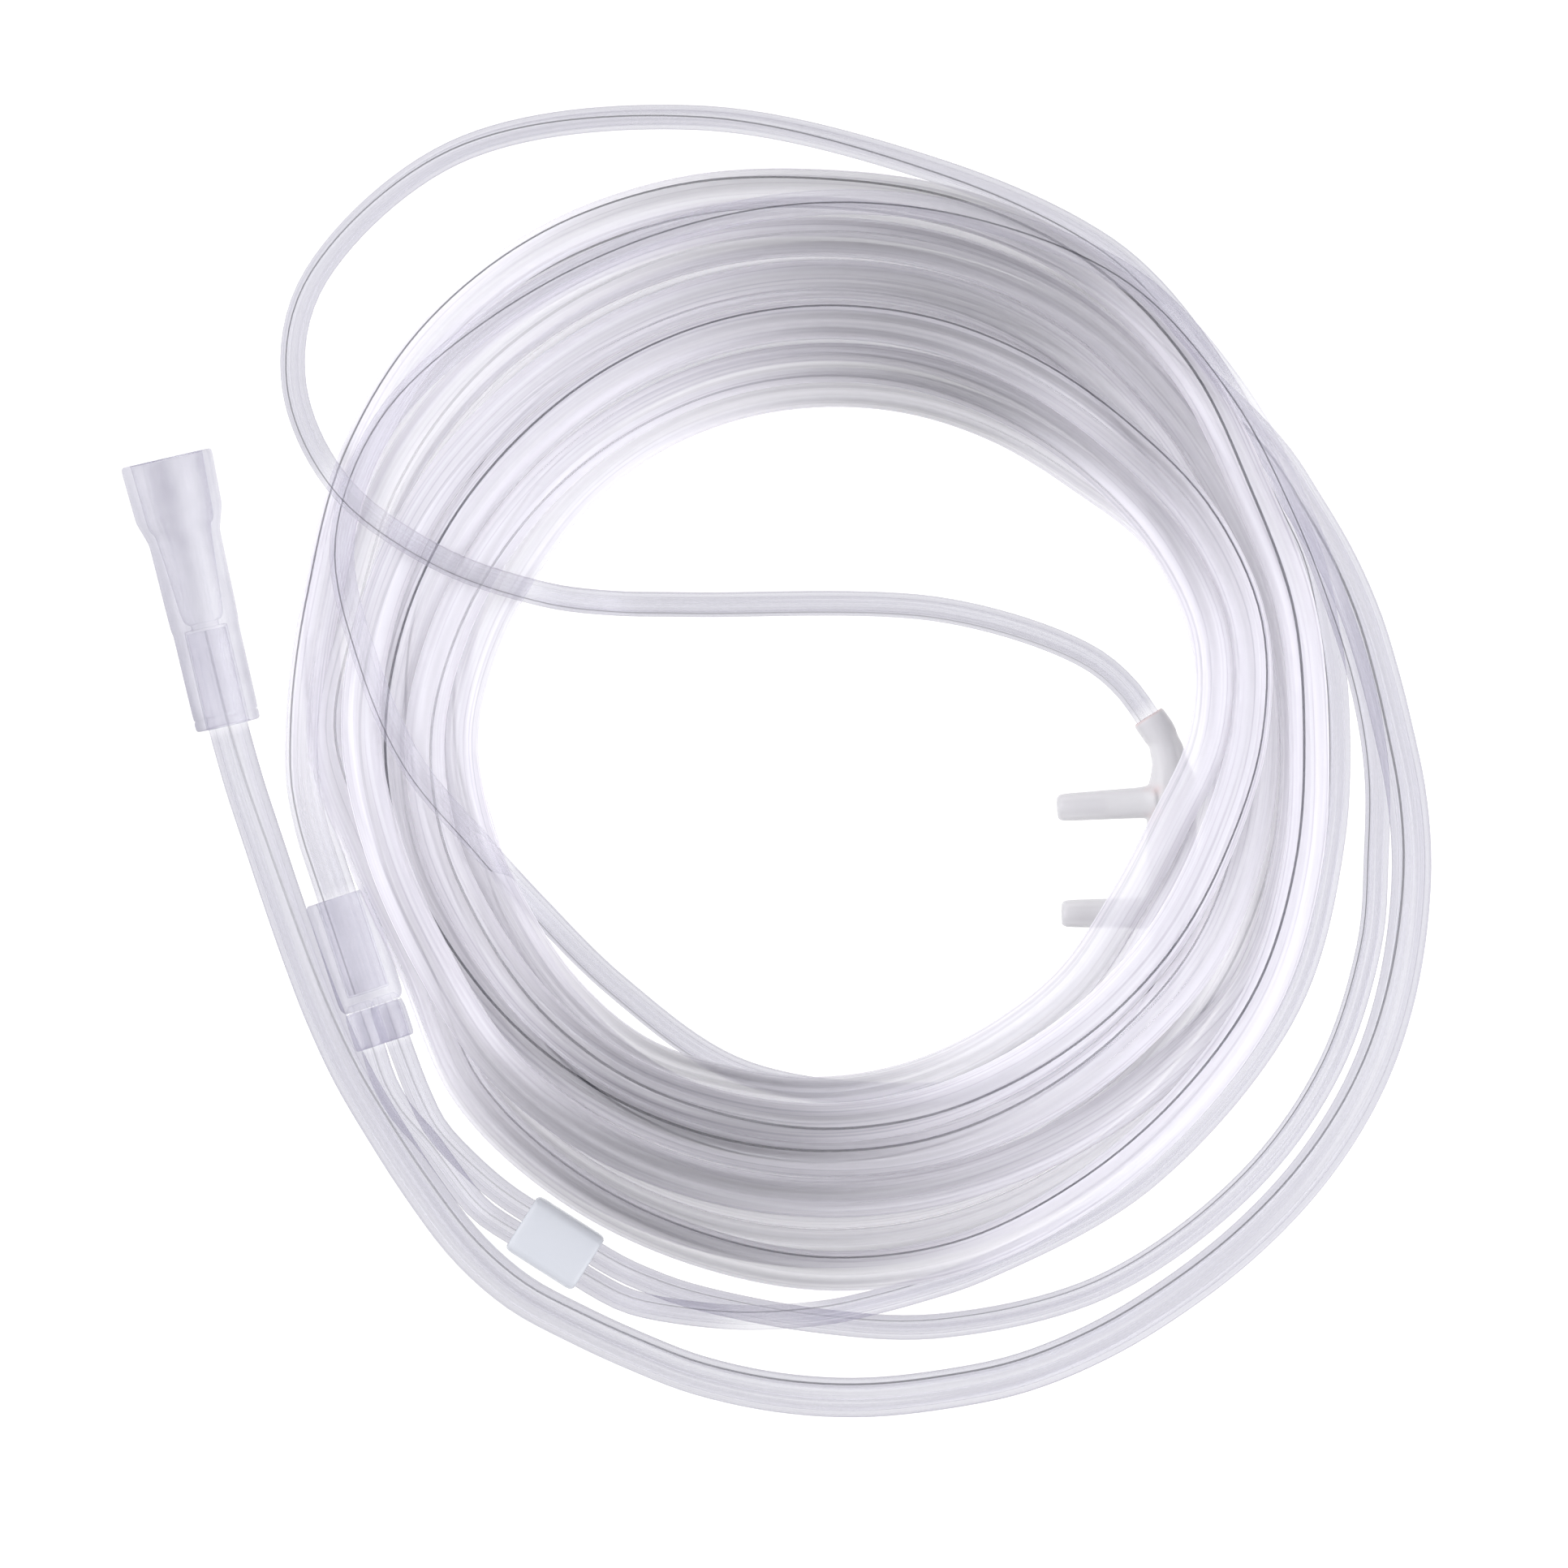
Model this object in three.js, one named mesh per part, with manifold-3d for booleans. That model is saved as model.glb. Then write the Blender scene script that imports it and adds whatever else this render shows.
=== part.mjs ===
// Nasal oxygen cannula, laid down coiled as it comes out of its packing. Millimetres, +Z up, floor at z = 0.
// Supply tube from the supply connector round the coil to the Y-connector, then two ear tubes through
// the slide, round the coil, to the two ends of the nasal piece.
import * as THREE from "three";
import { mergeVertices } from "three/addons/utils/BufferGeometryUtils.js";
import Module from "manifold-3d";

const wasm = await Module();
wasm.setup();

// Driving sizes
const CLEARANCE = 0.3;
const SUPPLY_TUBE_RADIUS = 2.8;
const EAR_TUBE_RADIUS = 1.75;
const SUPPLY_TUBE_STEP = 11;
const EAR_TUBE_STEP = 8.4;
const SUPPLY_TUBE_SIDES = 10;
const EAR_TUBE_SIDES = 8;
const ROUND_SIDES = 28;

const CONNECTOR_LENGTH = 38.8;
const CONNECTOR_MOUTH = [-69.8, 58.15, 6.76];
const CONNECTOR_TAIL = [-61.1, 20.3, 4.75];
const CONNECTOR_MOUTH_RADIUS = 6.6;
const CONNECTOR_LIP = 0.5;
const CONNECTOR_CUP_LENGTH = 8.1;
const CONNECTOR_CONE_END = 11.4;
const CONNECTOR_NECK_RADIUS = 5.15;
const CONNECTOR_TAIL_RADIUS = 4.65;
const CONNECTOR_CUP_WALL = 1.4;
const CONNECTOR_CUP_TAPER = 0.6;
const CONNECTOR_CUP_DEPTH = 9.9;
const CONNECTOR_BORE_START_RADIUS = 4.0;
const CONNECTOR_BORE_END_RADIUS = 2.9;
const CONNECTOR_STOP_RADIUS = 2.0;
const CONNECTOR_STOP_LENGTH = 0.7;
const CONNECTOR_SOCKET_DEPTH = 14.2;

const Y_TOP = [-45.6, -3.9, 6.5];
const Y_DIRECTION = [0.312, -0.95, 0];
const Y_BODY_LENGTH = 15.8;
const Y_BODY_WIDTH = 9.5;
const Y_BODY_HEIGHT = 7.6;
const Y_BODY_CORNER = 3.2;
const Y_EDGE = 0.35;
const Y_SOCKET_DEPTH = 14.2;
const Y_FORK_LENGTH = 5.9;
const Y_FORK_WALL = 0.5;
const Y_FORK_SOCKET_DEPTH = 5.6;
const Y_PASSAGE_RADIUS = 1.0;

const SLIDE_CENTRE = [-14.9, -53.0, 2.82];
const SLIDE_DIRECTION = [0.843, -0.538, 0];
const SLIDE_LENGTH = 11.3;
const SLIDE_WALL_SIDE = 0.6;
const SLIDE_WALL_TOP = 0.85;
const SLIDE_CORNER = 2.0;
const SLIDE_EDGE = 0.6;
const EAR_TUBE_SPACING = 3.7;
const EAR_BORE_CLEARANCE = 0.25;

const NASAL_SPINE_Z = 2.75;
const NASAL_SLEEVE_RADIUS = 2.4;
const NASAL_SLEEVE_LENGTH = 9.5;
const NASAL_SOCKET_DEPTH = 3.3;
const NASAL_BODY_WIDTH = 7.0;
const NASAL_BODY_HEIGHT = 5.2;
const NASAL_LUMEN_RADIUS = 1.3;
const PRONG_TIP_RADIUS = 1.9;
const PRONG_ROOT_RADIUS = 2.3;
const PRONG_LUMEN_RADIUS = 1.2;
const PRONG_TIP_ROUND = 0.3;
const UPPER_PRONG = { tip: [56.2, 8.7, 2.75], root: [71.0, 9.6, 2.75] };
const LOWER_PRONG = { tip: [56.8, -6.3, 2.75], root: [71.0, -6.2, 2.75] };

const COIL_CENTRE = [23.2, 19.1];
const COIL_HEIGHT = 11.5;
const COIL_EDGE = 2.0;
const NASAL_POCKET_MARGIN = 0.6;

// The coil's inner and outer edge as radii about its centre, every 15 degrees from +X, anticlockwise
const COIL_INNER_RADII = [
  51.3, 53.3, 52.6, 49.3, 47.6, 46.7, 46.3, 46.2, 45.9, 45.5, 46.0, 47.4,
  48.7, 48.5, 48.2, 49.0, 49.6, 48.6, 48.4, 47.6, 46.8, 46.9, 46.2, 47.4,
];
const COIL_OUTER_RADII = [
  70.9, 71.4, 74.9, 80.0, 80.7, 82.2, 79.8, 81.7, 82.9, 82.3, 79.1, 76.2,
  75.5, 67.2, 67.3, 74.7, 75.7, 77.1, 79.0, 79.4, 77.0, 75.6, 74.5, 72.4,
];

// Routes of the free tubes' centre lines, chosen by hand
const SUPPLY_RUN = [
  [-64.2, 33.8, 5.4], [-62.7, 27, 5.1], [-61.1, 20.1, 4.75], [-59.9, 15.6, 4.4], [-58.7, 11.4, 3.9],
  [-56.1, 3.4, 3.2], [-53.5, -4.5, 2.8], [-50.6, -12.8, 2.8], [-47.6, -20.6, 2.8], [-43.8, -28.8, 2.8],
  [-39, -37, 2.8], [-33.7, -45.2, 2.8], [-27.4, -53.5, 2.8], [-20.2, -59.9, 2.8], [-12.2, -64.3, 2.8],
  [-3.3, -68.4, 2.8], [5.3, -71.7, 2.8], [16.8, -74.2, 2.8], [28.3, -74.9, 2.8], [39.8, -73.8, 2.8],
  [51.3, -71.4, 2.8], [62.8, -66.6, 2.8], [73.4, -60.1, 2.8], [82.7, -52.8, 2.8], [90.6, -44.7, 2.8],
  [96.6, -36.4, 2.8], [101, -27.9, 2.8], [104.1, -18.5, 2.8], [105.9, -8.5, 2.8], [106.5, 1.6, 2.8],
  [105.7, 11, 2.8], [103.9, 19.7, 2.8], [101.9, 27.7, 2.8], [99.4, 35.7, 2.8], [95.8, 43.8, 2.8],
  [91.1, 51.8, 2.8], [86.5, 58.7, 2.8],
];
const SUPPLY_TAIL = [
  [-49.4, 27.7, 8.6], [-50, 19.7, 8.6], [-49.9, 12.2, 8.5], [-48.6, 5.4, 7.2], [-46.9, 0, 6.5],
  [-45.29, -4.85, 6.5], [-41.26, -17.1, 6.5],
];
const EAR_TUBE_UPPER = [
  [-42.31, -19.87, 6.5], [-40.59, -25.1, 6.5], [-39, -29.9, 6.7], [-36.5, -34.3, 6.6], [-33, -38.3, 6.4],
  [-29.8, -42.7, 5.7], [-27.2, -46.3, 4.4], [-24.7, -48.94, 2.9], [-18.4, -52.95, 2.82], [-8.47, -59.3, 2.82],
  [-4.7, -61.1, 3.6], [0, -62.2, 4.8], [11.7, -63.4, 5.6], [23.4, -62.7, 5.2], [30.1, -61.4, 3.6],
  [36.4, -59.8, 2.2], [45.6, -56.7, 1.9], [68.6, -44, 1.8], [88.7, -20, 1.8], [95.3, 3.6, 1.9],
  [95.9, 23.7, 2.3], [94.2, 35.5, 4.5], [92, 44.2, 7], [88.4, 51.8, 7.9], [80.1, 67.9, 7],
  [69, 83, 3.3], [59.9, 90.1, 2.2], [39.8, 98.9, 1.8], [5.3, 106.6, 1.8], [-29.1, 101.7, 2.1],
  [-48.9, 84, 2.8], [-51.8, 69.5, 7.4], [-44.4, 53.5, 17.8], [-31, 43.8, 14.2], [-17.2, 39, 11.4],
  [-7, 37.7, 4], [4, 37.5, 2.5], [39.8, 36.8, 1.9], [59.4, 30.8, 2.1], [65.5, 26.3, 2.75],
  [70.35, 19.7, 2.75],
];
const EAR_TUBE_LOWER = [
  [-38.79, -18.71, 6.5], [-37.07, -23.94, 6.5], [-35.9, -27.2, 6.3], [-34.3, -31.6, 4.2], [-31.8, -36.8, 2.1],
  [-26.9, -42.1, 2.1], [-21.9, -46.3, 2.8], [-16.4, -49.85, 2.82], [-6.82, -55.96, 2.82], [-2.7, -58, 1.95],
  [4.2, -60.5, 1.8], [22.6, -64.1, 1.8], [39.8, -64.8, 1.8], [62.8, -59.2, 1.8], [83, -44.7, 1.8],
  [94.7, -28.6, 1.8], [100.6, -10.6, 1.8], [101.5, 1.6, 2.4], [101.3, 13.9, 6.4], [99.4, 25.4, 6.9],
  [95.3, 38, 9.4], [89.9, 50.7, 13.2], [81.2, 66.8, 13.6], [66.3, 82.9, 13.6], [44.4, 91.8, 13.6],
  [21.4, 93.7, 13.6], [-1.6, 88.6, 13.6], [-23.4, 77.1, 13.6], [-38.6, 62.8, 13.6], [-44.6, 46, 13.6],
  [-41.2, 29.4, 13.6], [-34.7, 14.8, 13.6], [-25.6, 3.9, 12], [-17.4, -5.5, 3.4], [-6.1, -16.7, 1.8],
  [11.1, -28.6, 1.8], [34.1, -32.1, 1.8], [54.2, -29.6, 1.8], [65.5, -23.2, 2.75], [70.35, -16.6, 2.75],
];
const NASAL_SPINE = [
  [69.1, 21.7], [71.3, 18.2], [72.5, 13.3], [72.5, 8], [72.5, 1.6], [72.5, -5], [72.5, -10.2], [71.3, -15.1],
  [69.1, -18.6],
];

const UP = new THREE.Vector3(0, 0, 1);

function plastic(colour, roughness, opacity) {
  return new THREE.MeshStandardMaterial({
    color: colour, roughness, metalness: 0, transparent: opacity < 1, opacity,
  });
}

const CLEAR_TUBE = plastic(0xdcdce4, 0.12, 0.6);
const CLEAR_MOULDING = plastic(0xd2d0de, 0.1, 0.6);
const MILKY = plastic(0xe2e4e8, 0.45, 1);
const FROSTED = plastic(0xe4e0e6, 0.4, 0.9);

function point([x, y, z]) {
  return new THREE.Vector3(x, y, z);
}

function route(points) {
  return new THREE.CatmullRomCurve3(points.map(point));
}

function polygon(radius, sides) {
  const corners = Array.from({ length: sides }, (_, i) => {
    const angle = (2 * Math.PI * (i + 0.5)) / sides;
    return new THREE.Vector2(radius * Math.cos(angle), radius * Math.sin(angle));
  });
  return new THREE.Shape(corners);
}

function tubeAlong(curve, radius, sides, steps) {
  return new THREE.ExtrudeGeometry(polygon(radius, sides), { steps, extrudePath: curve });
}

function freeTube(points, radius, sides, step) {
  const curve = route(points);
  return { curve, radius, sides, steps: Math.ceil(curve.getLength() / step) };
}

function toSolid(geometry) {
  const bare = geometry.clone();
  bare.deleteAttribute("normal");
  bare.deleteAttribute("uv");
  const merged = mergeVertices(bare, 1e-4);
  return new wasm.Manifold(new wasm.Mesh({
    numProp: 3,
    vertProperties: new Float32Array(merged.attributes.position.array),
    triVerts: new Uint32Array(merged.index.array),
  }));
}

function toGeometry(solid) {
  const mesh = solid.getMesh();
  const geometry = new THREE.BufferGeometry();
  geometry.setAttribute("position", new THREE.BufferAttribute(new Float32Array(mesh.vertProperties), 3));
  geometry.setIndex(new THREE.BufferAttribute(new Uint32Array(mesh.triVerts), 1));
  const flat = geometry.toNonIndexed();
  flat.computeVertexNormals();
  return flat;
}

function joined(geometries) {
  return geometries.map(toSolid).reduce((sum, next) => sum.add(next));
}

function named(name, geometry, material) {
  const mesh = new THREE.Mesh(geometry, material);
  mesh.name = name;
  return mesh;
}

// A piece drawn along its own +Z is turned so that +Z runs along direction, with its own +X level
function alongDirection(direction) {
  const z = direction.clone().normalize();
  const x = new THREE.Vector3().crossVectors(UP, z).normalize();
  const y = new THREE.Vector3().crossVectors(z, x);
  return new THREE.Matrix4().makeBasis(x, y, z);
}

function placed(geometry, origin, direction) {
  return geometry.clone().applyMatrix4(alongDirection(direction).setPosition(origin));
}

function roundedRectangle(width, height, corner) {
  const a = width / 2;
  const b = height / 2;
  const shape = new THREE.Shape();
  shape.absarc(a - corner, b - corner, corner, 0, Math.PI / 2);
  shape.absarc(-a + corner, b - corner, corner, Math.PI / 2, Math.PI);
  shape.absarc(-a + corner, -b + corner, corner, Math.PI, 1.5 * Math.PI);
  shape.absarc(a - corner, -b + corner, corner, 1.5 * Math.PI, 2 * Math.PI);
  return shape;
}

// Extrudes an outline along +Z from z = 0 with its end edges rounded inside the stated length
function roundedBar(width, height, corner, length, edge) {
  const shape = roundedRectangle(width - 2 * edge, height - 2 * edge, corner - edge);
  const bar = new THREE.ExtrudeGeometry(shape, {
    depth: length - 2 * edge, bevelThickness: edge, bevelSize: edge, bevelSegments: 2, curveSegments: 5,
  });
  return bar.translate(0, 0, edge);
}

function plainBar(width, height, corner, length) {
  const shape = roundedRectangle(width, height, corner);
  return new THREE.ExtrudeGeometry(shape, { depth: length, bevelEnabled: false, curveSegments: 6 });
}

function rod(radius, length, start = 0, sides = ROUND_SIDES) {
  const profile = [[0, 0], [radius, 0], [radius, length], [0, length]];
  return new THREE.LatheGeometry(profile.map((p) => new THREE.Vector2(...p)), sides)
    .rotateX(Math.PI / 2)
    .translate(0, 0, start);
}

// A turned piece drawn by [radius, distance] pairs along its own +Z
function turned(profile, sides = ROUND_SIDES) {
  return new THREE.LatheGeometry(profile.map((p) => new THREE.Vector2(...p)), sides).rotateX(Math.PI / 2);
}

// Cuts room for tubes out of a solid: each one at its radius plus clearance, and as far past its two ends
function withRoomFor(solid, tubes, clearance) {
  let left = solid;
  for (const { curve, radius, sides, steps } of tubes) {
    left = left.subtract(toSolid(tubeAlong(curve, radius + clearance, sides, steps)));
    for (const end of [0, 1]) {
      const outward = curve.getTangentAt(end).multiplyScalar(2 * end - 1);
      const plug = placed(rod(radius + clearance, 2 * clearance, -clearance), curve.getPointAt(end), outward);
      left = left.subtract(toSolid(plug));
    }
  }
  return left;
}

function supplyConnector() {
  const cupInner = CONNECTOR_MOUTH_RADIUS - CONNECTOR_CUP_WALL;
  const socketStart = CONNECTOR_LENGTH - CONNECTOR_SOCKET_DEPTH;
  const socketRadius = SUPPLY_TUBE_RADIUS + CLEARANCE;
  const cupEndRadius = CONNECTOR_MOUTH_RADIUS - CONNECTOR_LIP / 2;
  const profile = [
    [cupInner, 0],
    [cupInner - CONNECTOR_CUP_TAPER, CONNECTOR_CUP_DEPTH],
    [CONNECTOR_BORE_START_RADIUS, CONNECTOR_CUP_DEPTH + CONNECTOR_LIP],
    [CONNECTOR_BORE_END_RADIUS, socketStart - CONNECTOR_STOP_LENGTH],
    [CONNECTOR_STOP_RADIUS, socketStart - CONNECTOR_STOP_LENGTH],
    [CONNECTOR_STOP_RADIUS, socketStart],
    [socketRadius, socketStart],
    [socketRadius, CONNECTOR_LENGTH],
    [CONNECTOR_TAIL_RADIUS - CONNECTOR_LIP, CONNECTOR_LENGTH],
    [CONNECTOR_TAIL_RADIUS, CONNECTOR_LENGTH - CONNECTOR_LIP],
    [CONNECTOR_NECK_RADIUS, CONNECTOR_CONE_END],
    [cupEndRadius - CONNECTOR_LIP / 2, CONNECTOR_CUP_LENGTH + CONNECTOR_LIP],
    [cupEndRadius, CONNECTOR_CUP_LENGTH],
    [CONNECTOR_MOUTH_RADIUS, CONNECTOR_LIP],
    [CONNECTOR_MOUTH_RADIUS - CONNECTOR_LIP, 0],
    [cupInner, 0],
  ];
  const mouth = point(CONNECTOR_MOUTH);
  return placed(turned(profile.reverse(), 36), mouth, point(CONNECTOR_TAIL).sub(mouth));
}

function yConnector(earTubes) {
  const forkWidth = EAR_TUBE_SPACING + 2 * (EAR_TUBE_RADIUS + EAR_BORE_CLEARANCE + Y_FORK_WALL);
  const forkHeight = 2 * (EAR_TUBE_RADIUS + EAR_BORE_CLEARANCE + Y_FORK_WALL);
  const total = Y_BODY_LENGTH + Y_FORK_LENGTH;
  const forkStart = Y_BODY_LENGTH - Y_EDGE;
  const fork = plainBar(forkWidth, forkHeight, forkHeight / 2 - 0.01, total - forkStart).translate(0, 0, forkStart);
  let solid = joined([roundedBar(Y_BODY_WIDTH, Y_BODY_HEIGHT, Y_BODY_CORNER, Y_BODY_LENGTH, Y_EDGE), fork]);
  solid = solid.subtract(toSolid(rod(SUPPLY_TUBE_RADIUS + CLEARANCE, Y_SOCKET_DEPTH + 1, -1)));
  for (const side of [-1, 1]) {
    const x = (side * EAR_TUBE_SPACING) / 2;
    const socketStart = total - Y_FORK_SOCKET_DEPTH;
    const socket = rod(EAR_TUBE_RADIUS + EAR_BORE_CLEARANCE, Y_FORK_SOCKET_DEPTH + 1, socketStart, 16);
    const passage = rod(Y_PASSAGE_RADIUS, total - Y_SOCKET_DEPTH, Y_SOCKET_DEPTH - 1, 12);
    solid = solid.subtract(toSolid(socket.translate(x, 0, 0)));
    solid = solid.subtract(toSolid(passage.translate(x, 0, 0)));
  }
  const body = placed(toGeometry(solid), point(Y_TOP), point(Y_DIRECTION));
  return toGeometry(withRoomFor(toSolid(body), earTubes, EAR_BORE_CLEARANCE));
}

function slide() {
  const boreRadius = EAR_TUBE_RADIUS + CLEARANCE;
  const boreWidth = EAR_TUBE_SPACING + 2 * boreRadius;
  const width = boreWidth + 2 * SLIDE_WALL_SIDE;
  const height = 2 * (boreRadius + SLIDE_WALL_TOP) - 0.2;
  const block = roundedBar(width, height, SLIDE_CORNER, SLIDE_LENGTH, SLIDE_EDGE);
  const bore = plainBar(boreWidth, 2 * boreRadius, boreRadius - 0.01, SLIDE_LENGTH + 2).translate(0, 0, -1);
  const solid = toSolid(block).subtract(toSolid(bore));
  const direction = point(SLIDE_DIRECTION);
  return placed(toGeometry(solid), point(SLIDE_CENTRE).addScaledVector(direction, -SLIDE_LENGTH / 2), direction);
}

function prong({ tip, root }, radiusTip, radiusRoot, round, reach = 0) {
  const start = point(tip);
  const axis = point(root).sub(start);
  const length = axis.length();
  axis.normalize();
  start.addScaledVector(axis, -reach);
  const profile = [[0, 0], [radiusTip - round, 0], [radiusTip, round], [radiusRoot, length + reach], [0, length + reach]];
  return placed(turned(profile, 18), start, axis);
}

function spineCurve() {
  return route(NASAL_SPINE.map(([x, y]) => [x, y, NASAL_SPINE_Z]));
}

function spineStretch(from, to) {
  const spine = spineCurve();
  const length = spine.getLength();
  const places = Array.from({ length: 9 }, (_, i) => (from + ((to - from) * i) / 8) / length);
  return new THREE.CatmullRomCurve3(places.map((u) => spine.getPointAt(u)));
}

function nasalPiece(earTubes) {
  const length = spineCurve().getLength();
  const bodyFrom = NASAL_SLEEVE_LENGTH - 1.5;
  const sleeves = [[0, NASAL_SLEEVE_LENGTH], [length - NASAL_SLEEVE_LENGTH, length]];
  const bodyShape = new THREE.Shape().absellipse(0, 0, NASAL_BODY_HEIGHT / 2, NASAL_BODY_WIDTH / 2, 0, 2 * Math.PI);
  const body = new THREE.ExtrudeGeometry(bodyShape, {
    steps: 8, curveSegments: 9, extrudePath: spineStretch(bodyFrom, length - bodyFrom),
  });
  let solid = joined([
    body,
    ...sleeves.map(([a, b]) => tubeAlong(spineStretch(a, b), NASAL_SLEEVE_RADIUS, 18, 6)),
    ...[UPPER_PRONG, LOWER_PRONG].map((p) => prong(p, PRONG_TIP_RADIUS, PRONG_ROOT_RADIUS, PRONG_TIP_ROUND)),
  ]);
  const socketRadius = EAR_TUBE_RADIUS + EAR_BORE_CLEARANCE;
  const sockets = [[0, NASAL_SOCKET_DEPTH], [length - NASAL_SOCKET_DEPTH, length]];
  for (const [a, b] of sockets) {
    solid = solid.subtract(toSolid(tubeAlong(spineStretch(a, b), socketRadius, 18, 4)));
  }
  solid = solid.subtract(toSolid(tubeAlong(spineStretch(2, length - 2), NASAL_LUMEN_RADIUS, 12, 16)));
  for (const p of [UPPER_PRONG, LOWER_PRONG]) {
    solid = solid.subtract(toSolid(prong(p, PRONG_LUMEN_RADIUS, PRONG_LUMEN_RADIUS, 0, 1)));
  }
  return toGeometry(withRoomFor(solid, earTubes, EAR_BORE_CLEARANCE));
}

function coilOutline(radii, inset) {
  const points = radii.map((radius, i) => {
    const angle = (2 * Math.PI * i) / radii.length;
    const r = radius - inset;
    return new THREE.Vector3(COIL_CENTRE[0] + r * Math.cos(angle), COIL_CENTRE[1] + r * Math.sin(angle), 0);
  });
  const curve = new THREE.CatmullRomCurve3(points, true);
  return curve.getPoints(72).slice(0, -1).map((p) => new THREE.Vector2(p.x, p.y));
}

// One solid of the coil's outer shape, with room for the free tubes that run in it and for the nasal piece
function supplyCoil(freeTubes, nasal) {
  const shape = new THREE.Shape(coilOutline(COIL_OUTER_RADII, COIL_EDGE));
  shape.holes.push(new THREE.Path(coilOutline(COIL_INNER_RADII, -COIL_EDGE).reverse()));
  const ring = new THREE.ExtrudeGeometry(shape, {
    depth: COIL_HEIGHT - 2 * COIL_EDGE, bevelThickness: COIL_EDGE, bevelSize: COIL_EDGE, bevelSegments: 2,
  }).translate(0, 0, COIL_EDGE);
  const solid = withRoomFor(toSolid(ring), freeTubes, CLEARANCE);
  const box = new THREE.Box3().setFromBufferAttribute(nasal.attributes.position).expandByScalar(NASAL_POCKET_MARGIN);
  const size = box.getSize(new THREE.Vector3());
  const centre = box.getCenter(new THREE.Vector3());
  const pocket = new THREE.BoxGeometry(size.x, size.y, size.z + 2).translate(centre.x, centre.y, centre.z - 1);
  return toGeometry(solid.subtract(toSolid(pocket)));
}

const freeTubes = [
  freeTube(SUPPLY_RUN, SUPPLY_TUBE_RADIUS, SUPPLY_TUBE_SIDES, SUPPLY_TUBE_STEP),
  freeTube(SUPPLY_TAIL, SUPPLY_TUBE_RADIUS, SUPPLY_TUBE_SIDES, SUPPLY_TUBE_STEP),
  freeTube(EAR_TUBE_UPPER, EAR_TUBE_RADIUS, EAR_TUBE_SIDES, EAR_TUBE_STEP),
  freeTube(EAR_TUBE_LOWER, EAR_TUBE_RADIUS, EAR_TUBE_SIDES, EAR_TUBE_STEP),
];
const [run, tail, earUpper, earLower] = freeTubes.map(
  ({ curve, radius, sides, steps }) => tubeAlong(curve, radius, sides, steps),
);

const earTubes = freeTubes.slice(2);
const nasal = nasalPiece(earTubes);

const cannula = new THREE.Group();
cannula.add(
  named("supply_connector", supplyConnector(), CLEAR_MOULDING),
  named("supply_tube_run", run, CLEAR_TUBE),
  named("supply_tube_coil", supplyCoil(freeTubes, nasal), CLEAR_TUBE),
  named("supply_tube_tail", tail, CLEAR_TUBE),
  named("y_connector", yConnector(earTubes), CLEAR_MOULDING),
  named("ear_tube_upper", earUpper, CLEAR_TUBE),
  named("ear_tube_lower", earLower, CLEAR_TUBE),
  named("slide", slide(), MILKY),
  named("nasal_piece", nasal, FROSTED),
);

export default cannula;
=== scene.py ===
# %% [markdown]
# # A coiled nasal oxygen cannula
# This lesson dresses the carried-over parts of an oxygen cannula: a long clear supply tube, coiled by hand
# and laid on a table, its connector, the Y-piece, two thin ear tubes, the slide that holds them together and
# the soft two-prong nasal piece. Everything is seen from straight above on a white table.

# %% Setup
import math
import bmesh
import bpy
import numpy as np
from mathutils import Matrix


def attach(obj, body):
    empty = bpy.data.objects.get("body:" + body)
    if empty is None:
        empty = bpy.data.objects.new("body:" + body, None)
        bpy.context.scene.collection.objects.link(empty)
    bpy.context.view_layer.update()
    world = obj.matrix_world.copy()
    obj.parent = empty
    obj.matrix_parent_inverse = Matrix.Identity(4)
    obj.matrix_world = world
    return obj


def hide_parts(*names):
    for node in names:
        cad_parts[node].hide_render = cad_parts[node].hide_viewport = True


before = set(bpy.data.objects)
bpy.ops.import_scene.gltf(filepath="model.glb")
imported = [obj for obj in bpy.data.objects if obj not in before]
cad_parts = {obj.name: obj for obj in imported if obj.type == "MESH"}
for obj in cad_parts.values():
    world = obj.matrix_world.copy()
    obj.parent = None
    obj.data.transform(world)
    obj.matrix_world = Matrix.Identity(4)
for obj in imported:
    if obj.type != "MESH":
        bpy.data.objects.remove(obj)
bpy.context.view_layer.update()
MM = 0.001
scene = bpy.context.scene

# %% [markdown]
# ## Camera
# The picture is a straight-down view that takes in a square of 222 mm. A short lens near by would make the
# raised coil look much too large. A long one from about 1.2 m keeps the slight perspective of a table-top
# camera, so it is used here, and the width of the view gives the height at which the camera hangs.

# %% Camera
VIEW_WIDTH = 222.07 * MM
VIEW_CENTRE = (17.53 * MM, 12.07 * MM)
VIEW_LEVEL = 4 * MM  # height over the table at which the view is VIEW_WIDTH wide
camera_data = bpy.data.cameras.new("camera")
camera_data.lens = 200.0
camera_data.sensor_width = 36.0
camera_data.dof.use_dof = False
camera = bpy.data.objects.new("camera", camera_data)
scene.collection.objects.link(camera)
camera.location = (*VIEW_CENTRE, VIEW_WIDTH * camera_data.lens / camera_data.sensor_width + VIEW_LEVEL)
scene.camera = camera
print("camera height", round(camera.location[2], 3), "m")

# %% [markdown]
# ## Routes of the tubes
# A tube is a length of something flexible, so it starts as a route: a list of points of its centre
# line. A centripetal Catmull-Rom curve runs through all of them without the loops that a plain one makes
# where the points stand unevenly.

# %% Smooth curve through a route
SAMPLES = 24


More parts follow.
